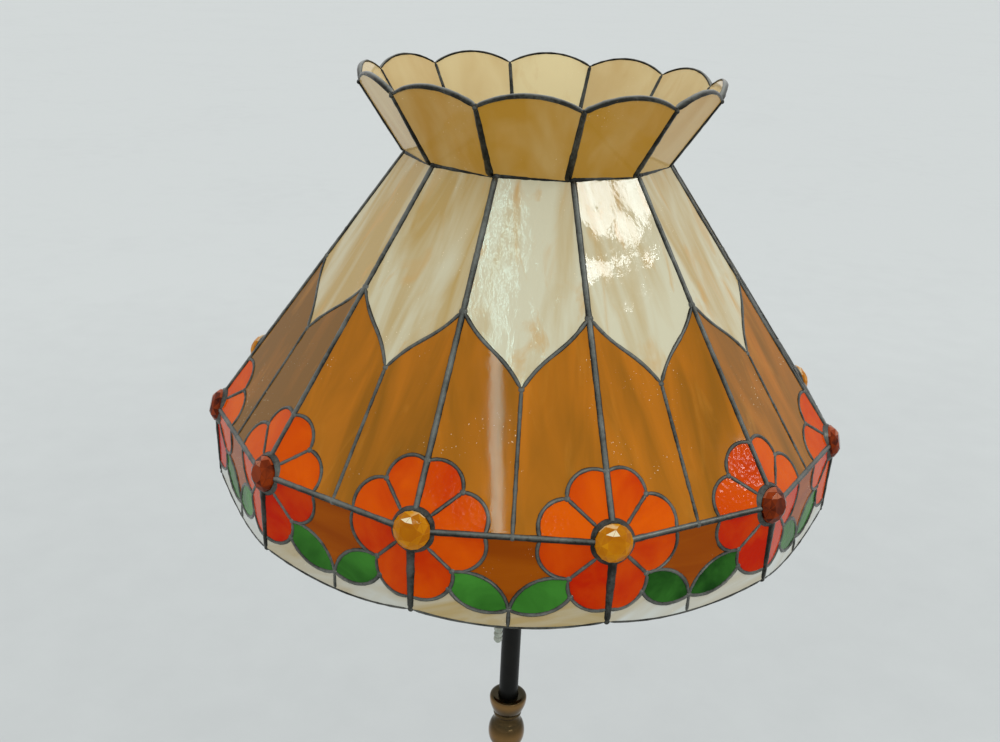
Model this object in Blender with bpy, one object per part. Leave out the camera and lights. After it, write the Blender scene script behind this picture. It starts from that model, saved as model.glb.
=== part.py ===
"""Standing lamp with a twelve-sided leaded glass shade.

Metres, +Z up. The stand's axis is the Z axis and the felt's underside is at Z = 0.
Seam 1 of the shade points towards -Y, and seams and panels are numbered from it towards +X.
"""

import math

import bmesh
import bpy
from mathutils import Matrix, Vector

# Shared by every piece
GAP = 0.0003  # clearance between pieces that touch
FINE = 36  # sides of a wide turned piece
COARSE = 20  # sides of a slender turned piece

# Shade: a twelve-sided cone with an upright skirt below and a flared crown above
SIDES = 12
STEP = math.tau / SIDES
BELT_Z = 1.245  # the widest line, where the cone meets the skirt
BELT_RADIUS = 0.254  # centre to corner: 508 mm across corners
NECK_RISE = 0.203
NECK_RADIUS = 0.1035
CROWN_RISE = 0.256
CROWN_RADIUS = 0.138
CROWN_TURN = -0.075  # the crown sits turned on the neck by this share of a side
LOBE = 0.011  # how far a crown lobe rises between its corners
RIM_DROP = 0.0602
RIM_RADIUS = 0.2525
SCALLOP = 0.0096  # how far the skirt dips between its corners
LEAD_HALF = 0.0027  # half the width of a lead strip
LEAD_THICK = 0.0045
GLASS = 0.003
CROWN_GLASS = 0.004
CROWN_LIFT = 0.0045  # from the neck line up the petals to the crown's lower edge
ARC_STEPS = 8

# Jewels on the belt corners
JEWEL_RADIUS = 0.0130
JEWEL_TILT = math.radians(15)
JEWEL_STANDOFF = 0.0034
JEWEL_SIDES = 12

# Shade carrier
RING_RADIUS = 0.0976
RING_WALL = 0.0022
RING_HEIGHT = 0.006
RING_TOP = BELT_Z + NECK_RISE - 0.0015
ARM_WIDTH = 0.010
ARM_THICK = 0.0025
HUB_RADIUS = 0.016
STUD_RADIUS = 0.0032
STUD_HEIGHT = 0.0150
STUD_HOLE = 0.0036

# Base
FELT_RADIUS = 0.136
FELT_THICK = 0.002
BASE_RADIUS = 0.140
BASE_TOP = 0.0445
SHELL_WALL = 0.0015
BUSHING_HEIGHT = 0.0105
BUSHING_RADIUS = 0.0045
BUSHING_BORE = 0.0032
BUSHING_TAIL = 0.132  # distance of its inner end from the axis
BUSHING_LIP = 0.0020
WEIGHT_RADIUS = 0.120
NUT_ROOM = 0.0090  # height of the pocket under the weight
NUT_ROOM_RADIUS = 0.016
NUT_RADIUS = 0.0098
NUT_HEIGHT = 0.0050

# Column: steel tubes between turned brass breaks, on a threaded pipe
TUBE_RADIUS = 0.0090
TUBE_WALL = 0.0010
PIPE_RADIUS = 0.0050
PIPE_BORE = 0.0038
PIPE_CLEAR = 0.0054
VASE_RADIUS = 0.0174  # a break's widest line, half-way up
VASE_WAIST = 0.0115
BUN_RADIUS = 0.0176  # the rounded ring at each end of a break
BUN_RISE = 0.0390  # from a break's centre to the widest line of its bun
BREAK_SEAT = 0.012  # from a break's centre to the end of the tube in it
UPPER_BREAK_Z = BELT_Z - 0.357
LOWER_BREAK_Z = 0.475
FOOT_HEIGHT = 0.042  # from the base's top to the middle of the base collar's ball
SADDLE_Z = 1.200
PIPE_FOOT = 0.0015  # height of the pipe's lower end above the felt
PIPE_HEAD = 0.0075  # from the saddle up to the pipe's upper end

# Lampholder, bulb, harp and pull chain
SADDLE_HALF = 0.0235
SADDLE_WIDTH = 0.012
SADDLE_TAB = 0.0110
STRIP = 0.0014  # thickness of the saddle's steel
CAP_RADIUS = 0.0175
SHELL_RADIUS = 0.0170
SHELL_BOTTOM = SADDLE_Z + 0.0240
SHELL_TOP = SHELL_BOTTOM + 0.046
LINER_RADIUS = 0.0155
BULB_BASE = SHELL_BOTTOM + 0.0120
HARP_WIRE = 0.0017
HARP_FOOT = 0.0215
CHAIN_ANGLE = math.radians(-38)
CHAIN_RADIUS = 0.0300
CHAIN_Z = SHELL_BOTTOM + 0.012
CHAIN_WIRE = 0.0012
KNOB_BOTTOM = BELT_Z - 0.237
KNOB_HEIGHT = 0.024


def finish(name, colour, roughness, metallic=0.0):
    """A plain surface finish."""
    surface = bpy.data.materials.new(name)
    surface.use_nodes = True
    shader = surface.node_tree.nodes["Principled BSDF"]
    shader.inputs["Base Color"].default_value = (*colour, 1.0)
    shader.inputs["Roughness"].default_value = roughness
    shader.inputs["Metallic"].default_value = metallic
    return surface


def new_piece(name, shape, surface, at=(0.0, 0.0, 0.0), holder=None):
    """Turns a bmesh into a named object, its faces out and its round sides smooth."""
    bmesh.ops.recalc_face_normals(shape, faces=shape.faces)
    mesh = bpy.data.meshes.new(name)
    shape.to_mesh(mesh)
    shape.free()
    mesh.shade_smooth()
    mesh.set_sharp_from_angle(angle=math.radians(35))
    mesh.materials.append(surface)
    piece = bpy.data.objects.new(name, mesh)
    bpy.context.collection.objects.link(piece)
    piece.location = at
    if holder is not None:
        piece.parent = holder
    return piece


def new_axis(name, at):
    """An empty on a joint's axis, which holds the pieces that move about it."""
    empty = bpy.data.objects.new(name, None)
    empty.location = at
    bpy.context.collection.objects.link(empty)
    return empty


def change(piece, operation, *tools):
    """Cuts tools from a piece, or joins them to it, with Boolean modifiers."""
    for tool in tools:
        step = piece.modifiers.new(tool.name, "BOOLEAN")
        step.operation = operation
        step.solver = "EXACT"
        step.object = tool
        tool.hide_render = True
        tool.display_type = "WIRE"
    return piece


def spun(outline, sides):
    """A turned shape from (radius, height) points. An outline that starts on the axis ends on it."""
    shape = bmesh.new()
    points = [shape.verts.new((radius, 0.0, height)) for radius, height in outline]
    hollow = outline[0][0] > 0.0
    pairs = list(zip(points, points[1:] + points[:1]))
    if not hollow:
        pairs.pop()
    edges = [shape.edges.new(pair) for pair in pairs]
    bmesh.ops.spin(
        shape,
        geom=points + edges,
        axis=(0, 0, 1),
        cent=(0, 0, 0),
        angle=math.tau,
        steps=sides,
        use_merge=True,
    )
    bmesh.ops.remove_doubles(shape, verts=shape.verts, dist=1e-6)
    return shape


def turned(name, outline, surface, sides=COARSE, at=(0.0, 0.0, 0.0), holder=None):
    """A turned piece on the Z axis of its own frame."""
    return new_piece(name, spun(outline, sides), surface, at, holder)


def pipe_outline(outer, inner, bottom, top):
    """The outline of a plain round tube."""
    return [(outer, top), (outer, bottom), (inner, bottom), (inner, top)]


def oval(radius, height, wide, tall, start, end, steps):
    """Points on an ellipse about (radius, height), between two angles in degrees, ends included."""
    turns = [math.radians(start + (end - start) * i / steps) for i in range(steps + 1)]
    return [(radius + wide * math.cos(a), height + tall * math.sin(a)) for a in turns]


def inward(outline, distance):
    """An open (radius, height) outline moved sideways, to the right of its own direction."""
    moved = []
    for i, (radius, height) in enumerate(outline):
        before = Vector(outline[max(i - 1, 0)])
        after = Vector(outline[min(i + 1, len(outline) - 1)])
        along = (after - before).normalized()
        moved.append((radius + along.y * distance, height - along.x * distance))
    return moved


def corner(number, radius, rise):
    """A point on a seam of the shade, in the shade's frame, whose origin is on the belt's plane."""
    angle = number * STEP
    return Vector((radius * math.sin(angle), -radius * math.cos(angle), rise))


def arched(start, end, bulge):
    """Points from start to end along a circle's arc that stands out by the bulge vector half-way."""
    half = (end - start).length / 2
    depth = bulge.length
    radius = (half * half + depth * depth) / (2 * depth)
    points = []
    for i in range(ARC_STEPS + 1):
        across = -half + 2 * half * i / ARC_STEPS
        lift = math.sqrt(radius * radius - across * across) - (radius - depth)
        points.append(start.lerp(end, i / ARC_STEPS) + bulge * (lift / depth))
    return points


def cone_panel(number):
    """The outline of one panel between the neck and the belt."""
    return [
        corner(number, BELT_RADIUS, 0.0),
        corner(number + 1, BELT_RADIUS, 0.0),
        corner(number + 1, NECK_RADIUS, NECK_RISE),
        corner(number, NECK_RADIUS, NECK_RISE),
    ]


def skirt_panel(number):
    """The outline of one panel below the belt, with its dipped lower edge."""
    top_left = corner(number, BELT_RADIUS, 0.0)
    top_right = corner(number + 1, BELT_RADIUS, 0.0)
    low_left = corner(number, RIM_RADIUS, -RIM_DROP)
    low_right = corner(number + 1, RIM_RADIUS, -RIM_DROP)
    down = ((low_left + low_right) / 2 - (top_left + top_right) / 2).normalized()
    return [top_right, top_left] + arched(low_left, low_right, down * SCALLOP)


def crown_panel(number):
    """The outline of one crown petal, with its arched upper edge."""
    left = number + CROWN_TURN
    right = left + 1
    low_left = corner(left, NECK_RADIUS, NECK_RISE)
    low_right = corner(right, NECK_RADIUS, NECK_RISE)
    top_left = corner(left, CROWN_RADIUS, CROWN_RISE)
    top_right = corner(right, CROWN_RADIUS, CROWN_RISE)
    lift = CROWN_LIFT / (top_left - low_left).length
    up = ((top_left + top_right) / 2 - (low_left + low_right) / 2).normalized()
    feet = [low_left.lerp(top_left, lift), low_right.lerp(top_right, lift)]
    return feet + arched(top_right, top_left, up * LOBE)


def sheet_of(outlines):
    """A bmesh with one face for each outline, joined where they share corners."""
    shape = bmesh.new()
    for outline in outlines:
        shape.faces.new([shape.verts.new(point) for point in outline])
    bmesh.ops.remove_doubles(shape, verts=shape.verts, dist=1e-6)
    bmesh.ops.recalc_face_normals(shape, faces=shape.faces)
    return shape


def thicken(piece, thickness):
    """Gives a sheet its thickness, half to each side."""
    solid = piece.modifiers.new("thickness", "SOLIDIFY")
    solid.thickness = thickness
    solid.offset = 0.0
    solid.use_even_offset = True
    return piece


def inset_faces(shape, width, keep_middle):
    """Insets every face by a width, then keeps either the middles or the borders."""
    middles = list(shape.faces)
    inset = bmesh.ops.inset_individual(shape, faces=middles, thickness=width, use_even_offset=True)
    borders = inset["faces"]
    unwanted = borders if keep_middle else middles
    bmesh.ops.delete(shape, geom=unwanted, context="FACES")
    return shape


def make_shade_glass(holder, cream, amber, caramel):
    """Twelve cone panels, twelve skirt panels and the crown."""
    for number in range(SIDES):
        label = f"{number + 1:02d}"
        cone = inset_faces(sheet_of([cone_panel(number)]), LEAD_HALF + GAP, keep_middle=True)
        skirt = inset_faces(sheet_of([skirt_panel(number)]), LEAD_HALF + GAP, keep_middle=True)
        thicken(new_piece("cone_panel_" + label, cone, amber, holder=holder), GLASS)
        thicken(new_piece("skirt_panel_" + label, skirt, cream, holder=holder), GLASS)
    crown = sheet_of([crown_panel(number) for number in range(SIDES)])
    thicken(new_piece("crown_glass", crown, caramel, holder=holder), CROWN_GLASS)


def make_lead_frame(holder, lead):
    """One lattice of lead strips round every cone and skirt panel."""
    outlines = [cone_panel(number) for number in range(SIDES)]
    outlines += [skirt_panel(number) for number in range(SIDES)]
    lattice = inset_faces(sheet_of(outlines), LEAD_HALF, keep_middle=False)
    thicken(new_piece("lead_frame", lattice, lead, holder=holder), LEAD_THICK)


def make_jewels(holder, amber, ruby):
    """A domed round jewel on each corner of the belt, in pairs of amber and ruby."""
    crown_line = [(JEWEL_RADIUS, 0.0), (JEWEL_RADIUS, 0.0015), (0.0105, 0.0045), (0.0060, 0.0068)]
    outline = [(0.0, 0.0)] + crown_line + [(0.0, 0.0072)]
    for number in range(SIDES):
        outwards = corner(number, 1.0, 0.0)
        facing = outwards * math.cos(JEWEL_TILT) + Vector((0, 0, math.sin(JEWEL_TILT)))
        colour = amber if (number + 1) // 2 % 2 == 0 else ruby
        jewel = turned(f"jewel_{number + 1:02d}", outline, colour, JEWEL_SIDES, holder=holder)
        jewel.location = corner(number, BELT_RADIUS, 0.0) + facing * JEWEL_STANDOFF
        jewel.rotation_euler = facing.to_track_quat("Z", "Y").to_euler()


def make_shade_spider(holder, steel):
    """The ring under the neck, with four arms to a hub with a hole for the harp's stud."""
    top = RING_TOP - BELT_Z
    ring = turned(
        "shade_spider",
        pipe_outline(RING_RADIUS, RING_RADIUS - RING_WALL, top - RING_HEIGHT, top),
        steel,
        FINE,
        holder=holder,
    )
    reach = RING_RADIUS - RING_WALL / 2
    hub_line = [(0, top - ARM_THICK), (HUB_RADIUS, top - ARM_THICK), (HUB_RADIUS, top), (0, top)]
    hub = turned("hub_join", hub_line, steel)
    hub.parent = holder
    arms = []
    for name, size in (("arm_join_x", (2 * reach, ARM_WIDTH)), ("arm_join_y", (ARM_WIDTH, 2 * reach))):
        bar = bmesh.new()
        bmesh.ops.create_cube(bar, size=1.0, matrix=Matrix.Diagonal((*size, ARM_THICK, 1.0)))
        arms.append(new_piece(name, bar, steel, (0, 0, top - ARM_THICK / 2), holder))
    cut_top = top + ARM_THICK
    hole_line = [(0, 0), (STUD_HOLE, 0), (STUD_HOLE, cut_top), (0, cut_top)]
    hole = turned("stud_hole_cut", hole_line, steel, holder=holder)
    change(ring, "UNION", hub, *arms)
    change(ring, "DIFFERENCE", hole)


def make_base(felt, iron, black, steel, rubber):
    """Felt, iron weight, spun cover, nut and the bushing that the supply lead would pass."""
    turned("felt_pad", [(0, 0), (FELT_RADIUS, 0), (FELT_RADIUS, FELT_THICK), (0, FELT_THICK)], felt, FINE)
    low = FELT_THICK + GAP
    nut_room = low + NUT_ROOM
    weight_top = BASE_TOP - SHELL_WALL - 2 * GAP
    weight = [(PIPE_CLEAR, weight_top), (0.030, weight_top)]
    weight += [(0.040, 0.0370), (0.082, 0.0300), (0.112, 0.0240)]
    weight += [(WEIGHT_RADIUS, 0.0190), (WEIGHT_RADIUS, low), (NUT_ROOM_RADIUS, low)]
    weight += [(NUT_ROOM_RADIUS, nut_room), (PIPE_CLEAR, nut_room)]
    turned("base_weight", weight[::-1], iron, 32)
    top = [(PIPE_CLEAR, BASE_TOP), (0.038, BASE_TOP), (0.046, 0.0415), (0.078, 0.0365), (0.082, 0.0335)]
    rim = oval(0.112, 0.0200, 0.028, 0.0098, 78, 0, 4)
    outer = top + rim + [(BASE_RADIUS, low)]
    shell = turned("base_shell", outer + inward(outer, SHELL_WALL)[::-1], black, FINE)
    cut_radius = BUSHING_RADIUS + GAP
    cut_end = BASE_RADIUS + SHELL_WALL
    cut_line = [(0, WEIGHT_RADIUS), (cut_radius, WEIGHT_RADIUS), (cut_radius, cut_end), (0, cut_end)]
    hole = turned("bushing_cut", cut_line, black)
    hole.rotation_euler = (-math.pi / 2, 0, 0)
    hole.location = (0, 0, BUSHING_HEIGHT)
    change(shell, "DIFFERENCE", hole)
    flange = BASE_RADIUS + GAP
    bushing = [(BUSHING_RADIUS, BUSHING_TAIL), (BUSHING_RADIUS, flange), (0.0070, flange)]
    bushing += [(0.0065, flange + BUSHING_LIP), (BUSHING_BORE, flange + BUSHING_LIP)]
    bushing += [(BUSHING_BORE, BUSHING_TAIL)]
    inlet = turned("cord_bushing", bushing[::-1], rubber, 16)
    inlet.rotation_euler = (-math.pi / 2, 0, 0)
    inlet.location = (0, 0, BUSHING_HEIGHT)
    top = nut_room - GAP
    bottom = top - NUT_HEIGHT
    nut = turned("base_nut", [(0, bottom), (NUT_RADIUS, bottom), (NUT_RADIUS, top), (0, top)], steel, 6)
    hole = turned("nut_hole_cut", [(0, 0), (PIPE_CLEAR, 0), (PIPE_CLEAR, BASE_TOP), (0, BASE_TOP)], steel)
    change(nut, "DIFFERENCE", hole)


def break_outline():
    """The upper half of a break from its middle: vase, waist, bead and bun, then the tube's seat."""
    vase = oval(0.0100, 0.0, VASE_RADIUS - 0.0100, 0.0145, 0, 65, 3)
    waist = [(VASE_WAIST, 0.0180)]
    bead = oval(VASE_WAIST, 0.0222, 0.0019, 0.0024, -90, 90, 3)
    bowl = [(0.0144, BUN_RISE - 0.0132), (0.0163, BUN_RISE - 0.0077), (BUN_RADIUS, BUN_RISE)]
    shoulder = [(0.0163, BUN_RISE + 0.0026), (0.0136, BUN_RISE + 0.0037)]
    seat = [(TUBE_RADIUS + GAP, BUN_RISE + 0.0037), (TUBE_RADIUS + GAP, BREAK_SEAT)]
    return vase + waist + bead + bowl + shoulder + seat


def make_column(black, brass, steel):
    """The foot collar, two breaks, three tubes and the threaded pipe that ties them together."""
    upper = break_outline()
    lower = [(radius, -height) for radius, height in upper[1:]]
    bore_top = [(PIPE_CLEAR, BREAK_SEAT)]
    bore_bottom = [(PIPE_CLEAR, -BREAK_SEAT)]
    outline = upper + bore_top + bore_bottom + lower[::-1]
    for name, height in (("lower_break", LOWER_BREAK_Z), ("upper_break", UPPER_BREAK_Z)):
        turned(name, outline, brass, at=(0, 0, height))
    foot_z = BASE_TOP + GAP
    foot = [(PIPE_CLEAR, 0.0), (0.0340, 0.0), (0.0340, 0.0030), (0.0315, 0.0050)]
    foot += oval(0.0315, 0.0185, 0.0170, 0.0125, 270, 190, 3)
    foot += oval(0.0138, 0.0205, 0.0030, 0.0026, -90, 90, 3) + [(0.0120, 0.0260)]
    top_half = [(radius, height + FOOT_HEIGHT) for radius, height in upper]
    collar = foot + top_half + [(PIPE_CLEAR, FOOT_HEIGHT + BREAK_SEAT)]
    turned("base_collar", collar, brass, at=(0, 0, foot_z))
    foot_seat = foot_z + FOOT_HEIGHT + BREAK_SEAT
    spans = (
        ("lower_tube", foot_seat, LOWER_BREAK_Z - BREAK_SEAT),
        ("middle_tube", LOWER_BREAK_Z + BREAK_SEAT, UPPER_BREAK_Z - BREAK_SEAT),
        ("upper_tube", UPPER_BREAK_Z + BREAK_SEAT, SADDLE_Z),
    )
    for name, bottom, top in spans:
        tube = pipe_outline(TUBE_RADIUS, TUBE_RADIUS - TUBE_WALL, bottom + GAP, top - GAP)
        turned(name, tube, black)
    pipe = pipe_outline(PIPE_RADIUS, PIPE_BORE, FELT_THICK + PIPE_FOOT, SADDLE_Z + PIPE_HEAD)
    turned("lamp_pipe", pipe, steel, 16)


def make_lampholder(brass, steel, porcelain):
    """Saddle for the harp, cap, shell with its chain guide, and the liner that the bulb screws into."""
    half = SADDLE_HALF
    inner = half - STRIP
    outline = [(-half, SADDLE_TAB), (-half, 0), (half, 0), (half, SADDLE_TAB)]
    outline += [(inner, SADDLE_TAB), (inner, STRIP), (-inner, STRIP), (-inner, SADDLE_TAB)]
    saddle = bmesh.new()
    face = saddle.faces.new([saddle.verts.new((x, -SADDLE_WIDTH / 2, z)) for x, z in outline])
    sides = bmesh.ops.extrude_face_region(saddle, geom=[face])["geom"]
    moved = [part for part in sides if isinstance(part, bmesh.types.BMVert)]
    bmesh.ops.translate(saddle, vec=(0, SADDLE_WIDTH, 0), verts=moved)
    harp_saddle = new_piece("harp_saddle", saddle, steel, (0, 0, SADDLE_Z))
    hole = [(0, -0.01), (PIPE_CLEAR, -0.01), (PIPE_CLEAR, 0.01), (0, 0.01)]
    change(harp_saddle, "DIFFERENCE", turned("saddle_hole_cut", hole, steel, at=(0, 0, SADDLE_Z)))

    cap = [(PIPE_CLEAR, 0.0), (0.0095, 0.0), (0.0100, 0.0035), (0.0145, 0.0075), (CAP_RADIUS, 0.0130)]
    cap += [(CAP_RADIUS, 0.0218), (CAP_RADIUS - 0.0012, 0.0218), (CAP_RADIUS - 0.0012, 0.0135)]
    cap += [(0.0135, 0.0090), (PIPE_CLEAR, 0.0048)]
    cap_z = SADDLE_Z + STRIP + GAP
    turned("socket_cap", cap, brass, at=(0, 0, cap_z))

    shell_line = [(SHELL_RADIUS, SHELL_BOTTOM), (SHELL_RADIUS, SHELL_TOP - 0.003), (0.0176, SHELL_TOP)]
    shell = turned("socket_shell", shell_line + inward(shell_line, -0.0010)[::-1], brass)
    guide_at = (CHAIN_RADIUS * math.sin(CHAIN_ANGLE), -CHAIN_RADIUS * math.cos(CHAIN_ANGLE), CHAIN_Z)
    guide_line = [(0, -0.001), (0.0036, -0.001), (0.0030, 0.004)]
    guide_line += [(0.0030, 0.010), (0.0018, 0.0125), (0, 0.013)]
    guide = turned("guide_join", guide_line, brass, 12, guide_at)
    bridge = turned("bridge_join", [(0, 0.0163), (0.0025, 0.0163), (0.0025, 0.029), (0, 0.029)], brass, 12)
    bridge.location = (0, 0, CHAIN_Z + 0.006)
    bridge.rotation_euler = (math.pi / 2, 0, CHAIN_ANGLE)
    bore_line = [(0, -0.004), (CHAIN_WIRE + 0.0004, -0.004), (CHAIN_WIRE + 0.0004, 0.0105), (0, 0.0105)]
    bore = turned("guide_cut", bore_line, brass, 12, guide_at)
    change(shell, "UNION", bridge, guide)
    change(shell, "DIFFERENCE", bore)

    low = SHELL_BOTTOM + 0.004
    liner = [(0, low), (LINER_RADIUS, low), (LINER_RADIUS, SHELL_TOP - 0.004), (0.0140, SHELL_TOP - 0.004)]
    liner += [(0.0140, BULB_BASE - GAP), (0, BULB_BASE - GAP)]
    turned("socket_liner", liner, porcelain)


def make_bulb(holder, glass):
    """A pear-shaped bulb with its screw base, standing in the liner."""
    base = [(0, 0), (0.0060, 0), (0.0060, 0.0020), (0.0128, 0.0050), (0.0128, 0.0270), (0.0130, 0.0310)]
    globe = oval(0.0, 0.0790, 0.0300, 0.0300, -42, 90, 9)
    turned("bulb", base + [(0.0165, 0.0420)] + globe[:-1] + [(0, 0.1090)], glass, holder=holder)


def make_harp(steel, brass):
    """A sprung wire loop round the bulb, with ferrules at its feet and a threaded stud on top."""
    foot_z = SADDLE_Z + SADDLE_TAB + GAP
    seat_z = RING_TOP - ARM_THICK - GAP
    top_z = seat_z - 0.0040
    half = [(HARP_FOOT, 0.001), (HARP_FOOT, 0.020), (0.0380, 0.048), (0.0540, 0.090), (0.0575, 0.130)]
    half += [(0.0460, 0.178), (0.0220, top_z - foot_z - 0.008), (0.0, top_z - foot_z)]
    route = half + [(-across, rise) for across, rise in half[-2::-1]]
    wire_line = bpy.data.curves.new("harp_wire_line", "CURVE")
    wire_line.dimensions = "3D"
    wire_line.bevel_depth = HARP_WIRE
    wire_line.bevel_resolution = 2
    wire_line.use_fill_caps = True
    spline = wire_line.splines.new("BEZIER")
    spline.resolution_u = 3
    spline.bezier_points.add(len(route) - 1)
    for knot, (across, rise) in zip(spline.bezier_points, route):
        knot.co = (across, 0.0, foot_z + rise)
        knot.handle_left_type = "AUTO"
        knot.handle_right_type = "AUTO"
    guide = bpy.data.objects.new("harp_wire_line", wire_line)
    bpy.context.collection.objects.link(guide)
    shape = bmesh.new()
    joined = guide.evaluated_get(bpy.context.evaluated_depsgraph_get())
    shape.from_mesh(bpy.data.meshes.new_from_object(joined))
    bmesh.ops.remove_doubles(shape, verts=shape.verts, dist=1e-6)
    bpy.data.objects.remove(guide)
    harp = new_piece("harp", shape, steel)
    seat = [(0, top_z - 0.002), (0.0050, top_z - 0.002), (0.0095, seat_z - 0.002), (0.0095, seat_z)]
    seat += [(STUD_RADIUS, seat_z), (STUD_RADIUS, seat_z + STUD_HEIGHT), (0, seat_z + STUD_HEIGHT)]
    joins = [turned("seat_join", seat, brass, 16)]
    for name, side in (("ferrule_join_left", -1), ("ferrule_join_right", 1)):
        sleeve = [(0, 0), (0.0034, 0), (0.0034, 0.013), (0.0026, 0.015), (0, 0.015)]
        joins.append(turned(name, sleeve, brass, 12, (side * HARP_FOOT, 0, foot_z)))
    change(harp, "UNION", *joins)


def make_finial(holder, brass):
    """A turned brass knob with a blind threaded hole, screwed onto the harp's stud."""
    knob = [(STUD_RADIUS + GAP, 0.0), (0.0105, 0.0), (0.0105, 0.0020), (0.0060, 0.0045), (0.0048, 0.0085)]
    knob += oval(0.0, 0.0180, 0.0085, 0.0080, -50, 60, 6) + [(0.0020, 0.0262), (0, 0.0275)]
    blind = [(0, 0.0140), (STUD_RADIUS + GAP, 0.0140)]
    outline = blind + knob
    turned("finial", outline, brass, 20, holder=holder)


def make_pull_chain(holder, steel, fob):
    """The pull chain's outer shape and the ribbed fob on its end."""
    top = 0.0090
    bottom = KNOB_BOTTOM + KNOB_HEIGHT - CHAIN_Z
    wire = [(0, bottom), (CHAIN_WIRE, bottom), (CHAIN_WIRE, top), (0, top)]
    turned("pull_chain", wire, steel, 10, holder=holder)
    low = bottom - KNOB_HEIGHT
    ribs = []
    for i in range(3):
        ribs += oval(0.0026, low + 0.004 + i * 0.0052, 0.0014, 0.0024, -80, 80, 2)
    outline = [(0, low), (0.0022, low)] + ribs + [(0.0018, bottom - 0.002), (0.0016, bottom - GAP)]
    turned("pull_fob", outline + [(0, bottom - GAP)], fob, 12, holder=holder)


def main():
    for piece in list(bpy.data.objects):
        bpy.data.objects.remove(piece)

    lead = finish("lead", (0.10, 0.11, 0.11), 0.45, 0.8)
    cream = finish("cream_glass", (0.80, 0.72, 0.55), 0.15)
    amber = finish("amber_glass", (0.45, 0.18, 0.03), 0.15)
    caramel = finish("caramel_glass", (0.58, 0.36, 0.10), 0.15)
    gold_jewel = finish("gold_jewel", (0.75, 0.38, 0.02), 0.05)
    red_jewel = finish("red_jewel", (0.25, 0.02, 0.01), 0.05)
    black = finish("black_paint", (0.015, 0.015, 0.016), 0.35)
    brass = finish("aged_brass", (0.55, 0.36, 0.14), 0.35, 1.0)
    steel = finish("steel", (0.50, 0.50, 0.50), 0.35, 1.0)
    iron = finish("cast_iron", (0.08, 0.08, 0.08), 0.7, 0.8)
    felt = finish("green_felt", (0.03, 0.10, 0.05), 0.95)
    rubber = finish("rubber", (0.02, 0.02, 0.02), 0.6)
    porcelain = finish("porcelain", (0.85, 0.83, 0.78), 0.2)
    opal = finish("opal_bulb", (0.95, 0.94, 0.90), 0.25)
    fob = finish("grey_fob", (0.45, 0.50, 0.45), 0.4)

    make_base(felt, iron, black, steel, rubber)
    make_column(black, brass, steel)
    make_lampholder(brass, steel, porcelain)
    make_harp(steel, brass)
    make_bulb(new_axis("bulb_axis", (0, 0, BULB_BASE)), opal)
    make_finial(new_axis("finial_axis", (0, 0, RING_TOP + GAP)), brass)
    chain_at = (CHAIN_RADIUS * math.sin(CHAIN_ANGLE), -CHAIN_RADIUS * math.cos(CHAIN_ANGLE), CHAIN_Z)
    make_pull_chain(new_axis("chain_axis", chain_at), steel, fob)
    shade = new_axis("shade_axis", (0, 0, BELT_Z))
    make_lead_frame(shade, lead)
    make_shade_glass(shade, cream, amber, caramel)
    make_jewels(shade, gold_jewel, red_jewel)
    make_shade_spider(shade, steel)


main()
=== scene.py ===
"""The looks of the standing lamp: its panes, jewels, lead lines, turned metal and their materials.

Metres, +Z up, in the frame of the CAD model. Seam 0 of the shade points towards -Y, side k lies
between seams k and k + 1, and its pieces are numbered k + 1. A flat outline on a side is in
millimetres: u runs along the belt or neck from seam k, v runs up the side, and w points outwards.
"""

import math
import random

import bmesh
import bpy
from mathutils import Matrix, Vector, noise


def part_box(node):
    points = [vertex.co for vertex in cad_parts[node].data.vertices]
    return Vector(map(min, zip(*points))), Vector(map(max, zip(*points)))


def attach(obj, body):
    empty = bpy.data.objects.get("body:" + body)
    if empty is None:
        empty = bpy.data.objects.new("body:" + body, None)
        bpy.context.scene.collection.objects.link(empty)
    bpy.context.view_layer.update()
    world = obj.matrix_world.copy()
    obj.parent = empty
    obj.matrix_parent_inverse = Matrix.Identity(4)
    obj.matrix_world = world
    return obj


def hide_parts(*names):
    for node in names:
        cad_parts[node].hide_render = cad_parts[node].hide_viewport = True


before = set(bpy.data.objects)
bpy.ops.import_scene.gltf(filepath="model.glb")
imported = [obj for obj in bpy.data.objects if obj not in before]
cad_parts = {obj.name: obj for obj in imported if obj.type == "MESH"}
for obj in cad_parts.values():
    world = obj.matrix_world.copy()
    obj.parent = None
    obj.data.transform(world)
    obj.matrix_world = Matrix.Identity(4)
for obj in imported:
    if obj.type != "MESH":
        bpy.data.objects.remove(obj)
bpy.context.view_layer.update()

# The shade, with the same driving dimensions as the CAD model
SIDES = 12
STEP = math.tau / SIDES
BELT_Z = 1.245
BELT_RADIUS = 0.254
NECK_RISE = 0.203
NECK_RADIUS = 0.1035
CROWN_RISE = 0.256
CROWN_RADIUS = 0.138
CROWN_TURN = -0.075  # the crown sits turned on the neck by this share of a side
RIM_DROP = 0.0602
RIM_RADIUS = 0.2525
BELT_RING = (BELT_RADIUS, 0)
NECK_RING = (NECK_RADIUS, NECK_RISE)
CROWN_RING = (CROWN_RADIUS, CROWN_RISE)
RIM_RING = (RIM_RADIUS, -RIM_DROP)
MM = 0.001

# Flat outlines on a side, in millimetres
LOBE = 11.0  # rise of a crown pane's arched top
SCALLOP = 9.6  # dip of the rim between its corners
RIM_MIDDLE = -RIM_DROP / MM - SCALLOP
SHOULDER = 149.5  # height on the seam where a cream pane starts to narrow
TIP = 97.4  # height of a cream pane's lower point
EDGE_SWAY = 1.5  # how far the edges of that point sway from straight
LEAF_TIP = -55.5  # height of the point where two leaves meet
LEAF_TOP_BOW = 9.8
LEAF_UNDER_BOW = -8.4

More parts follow.
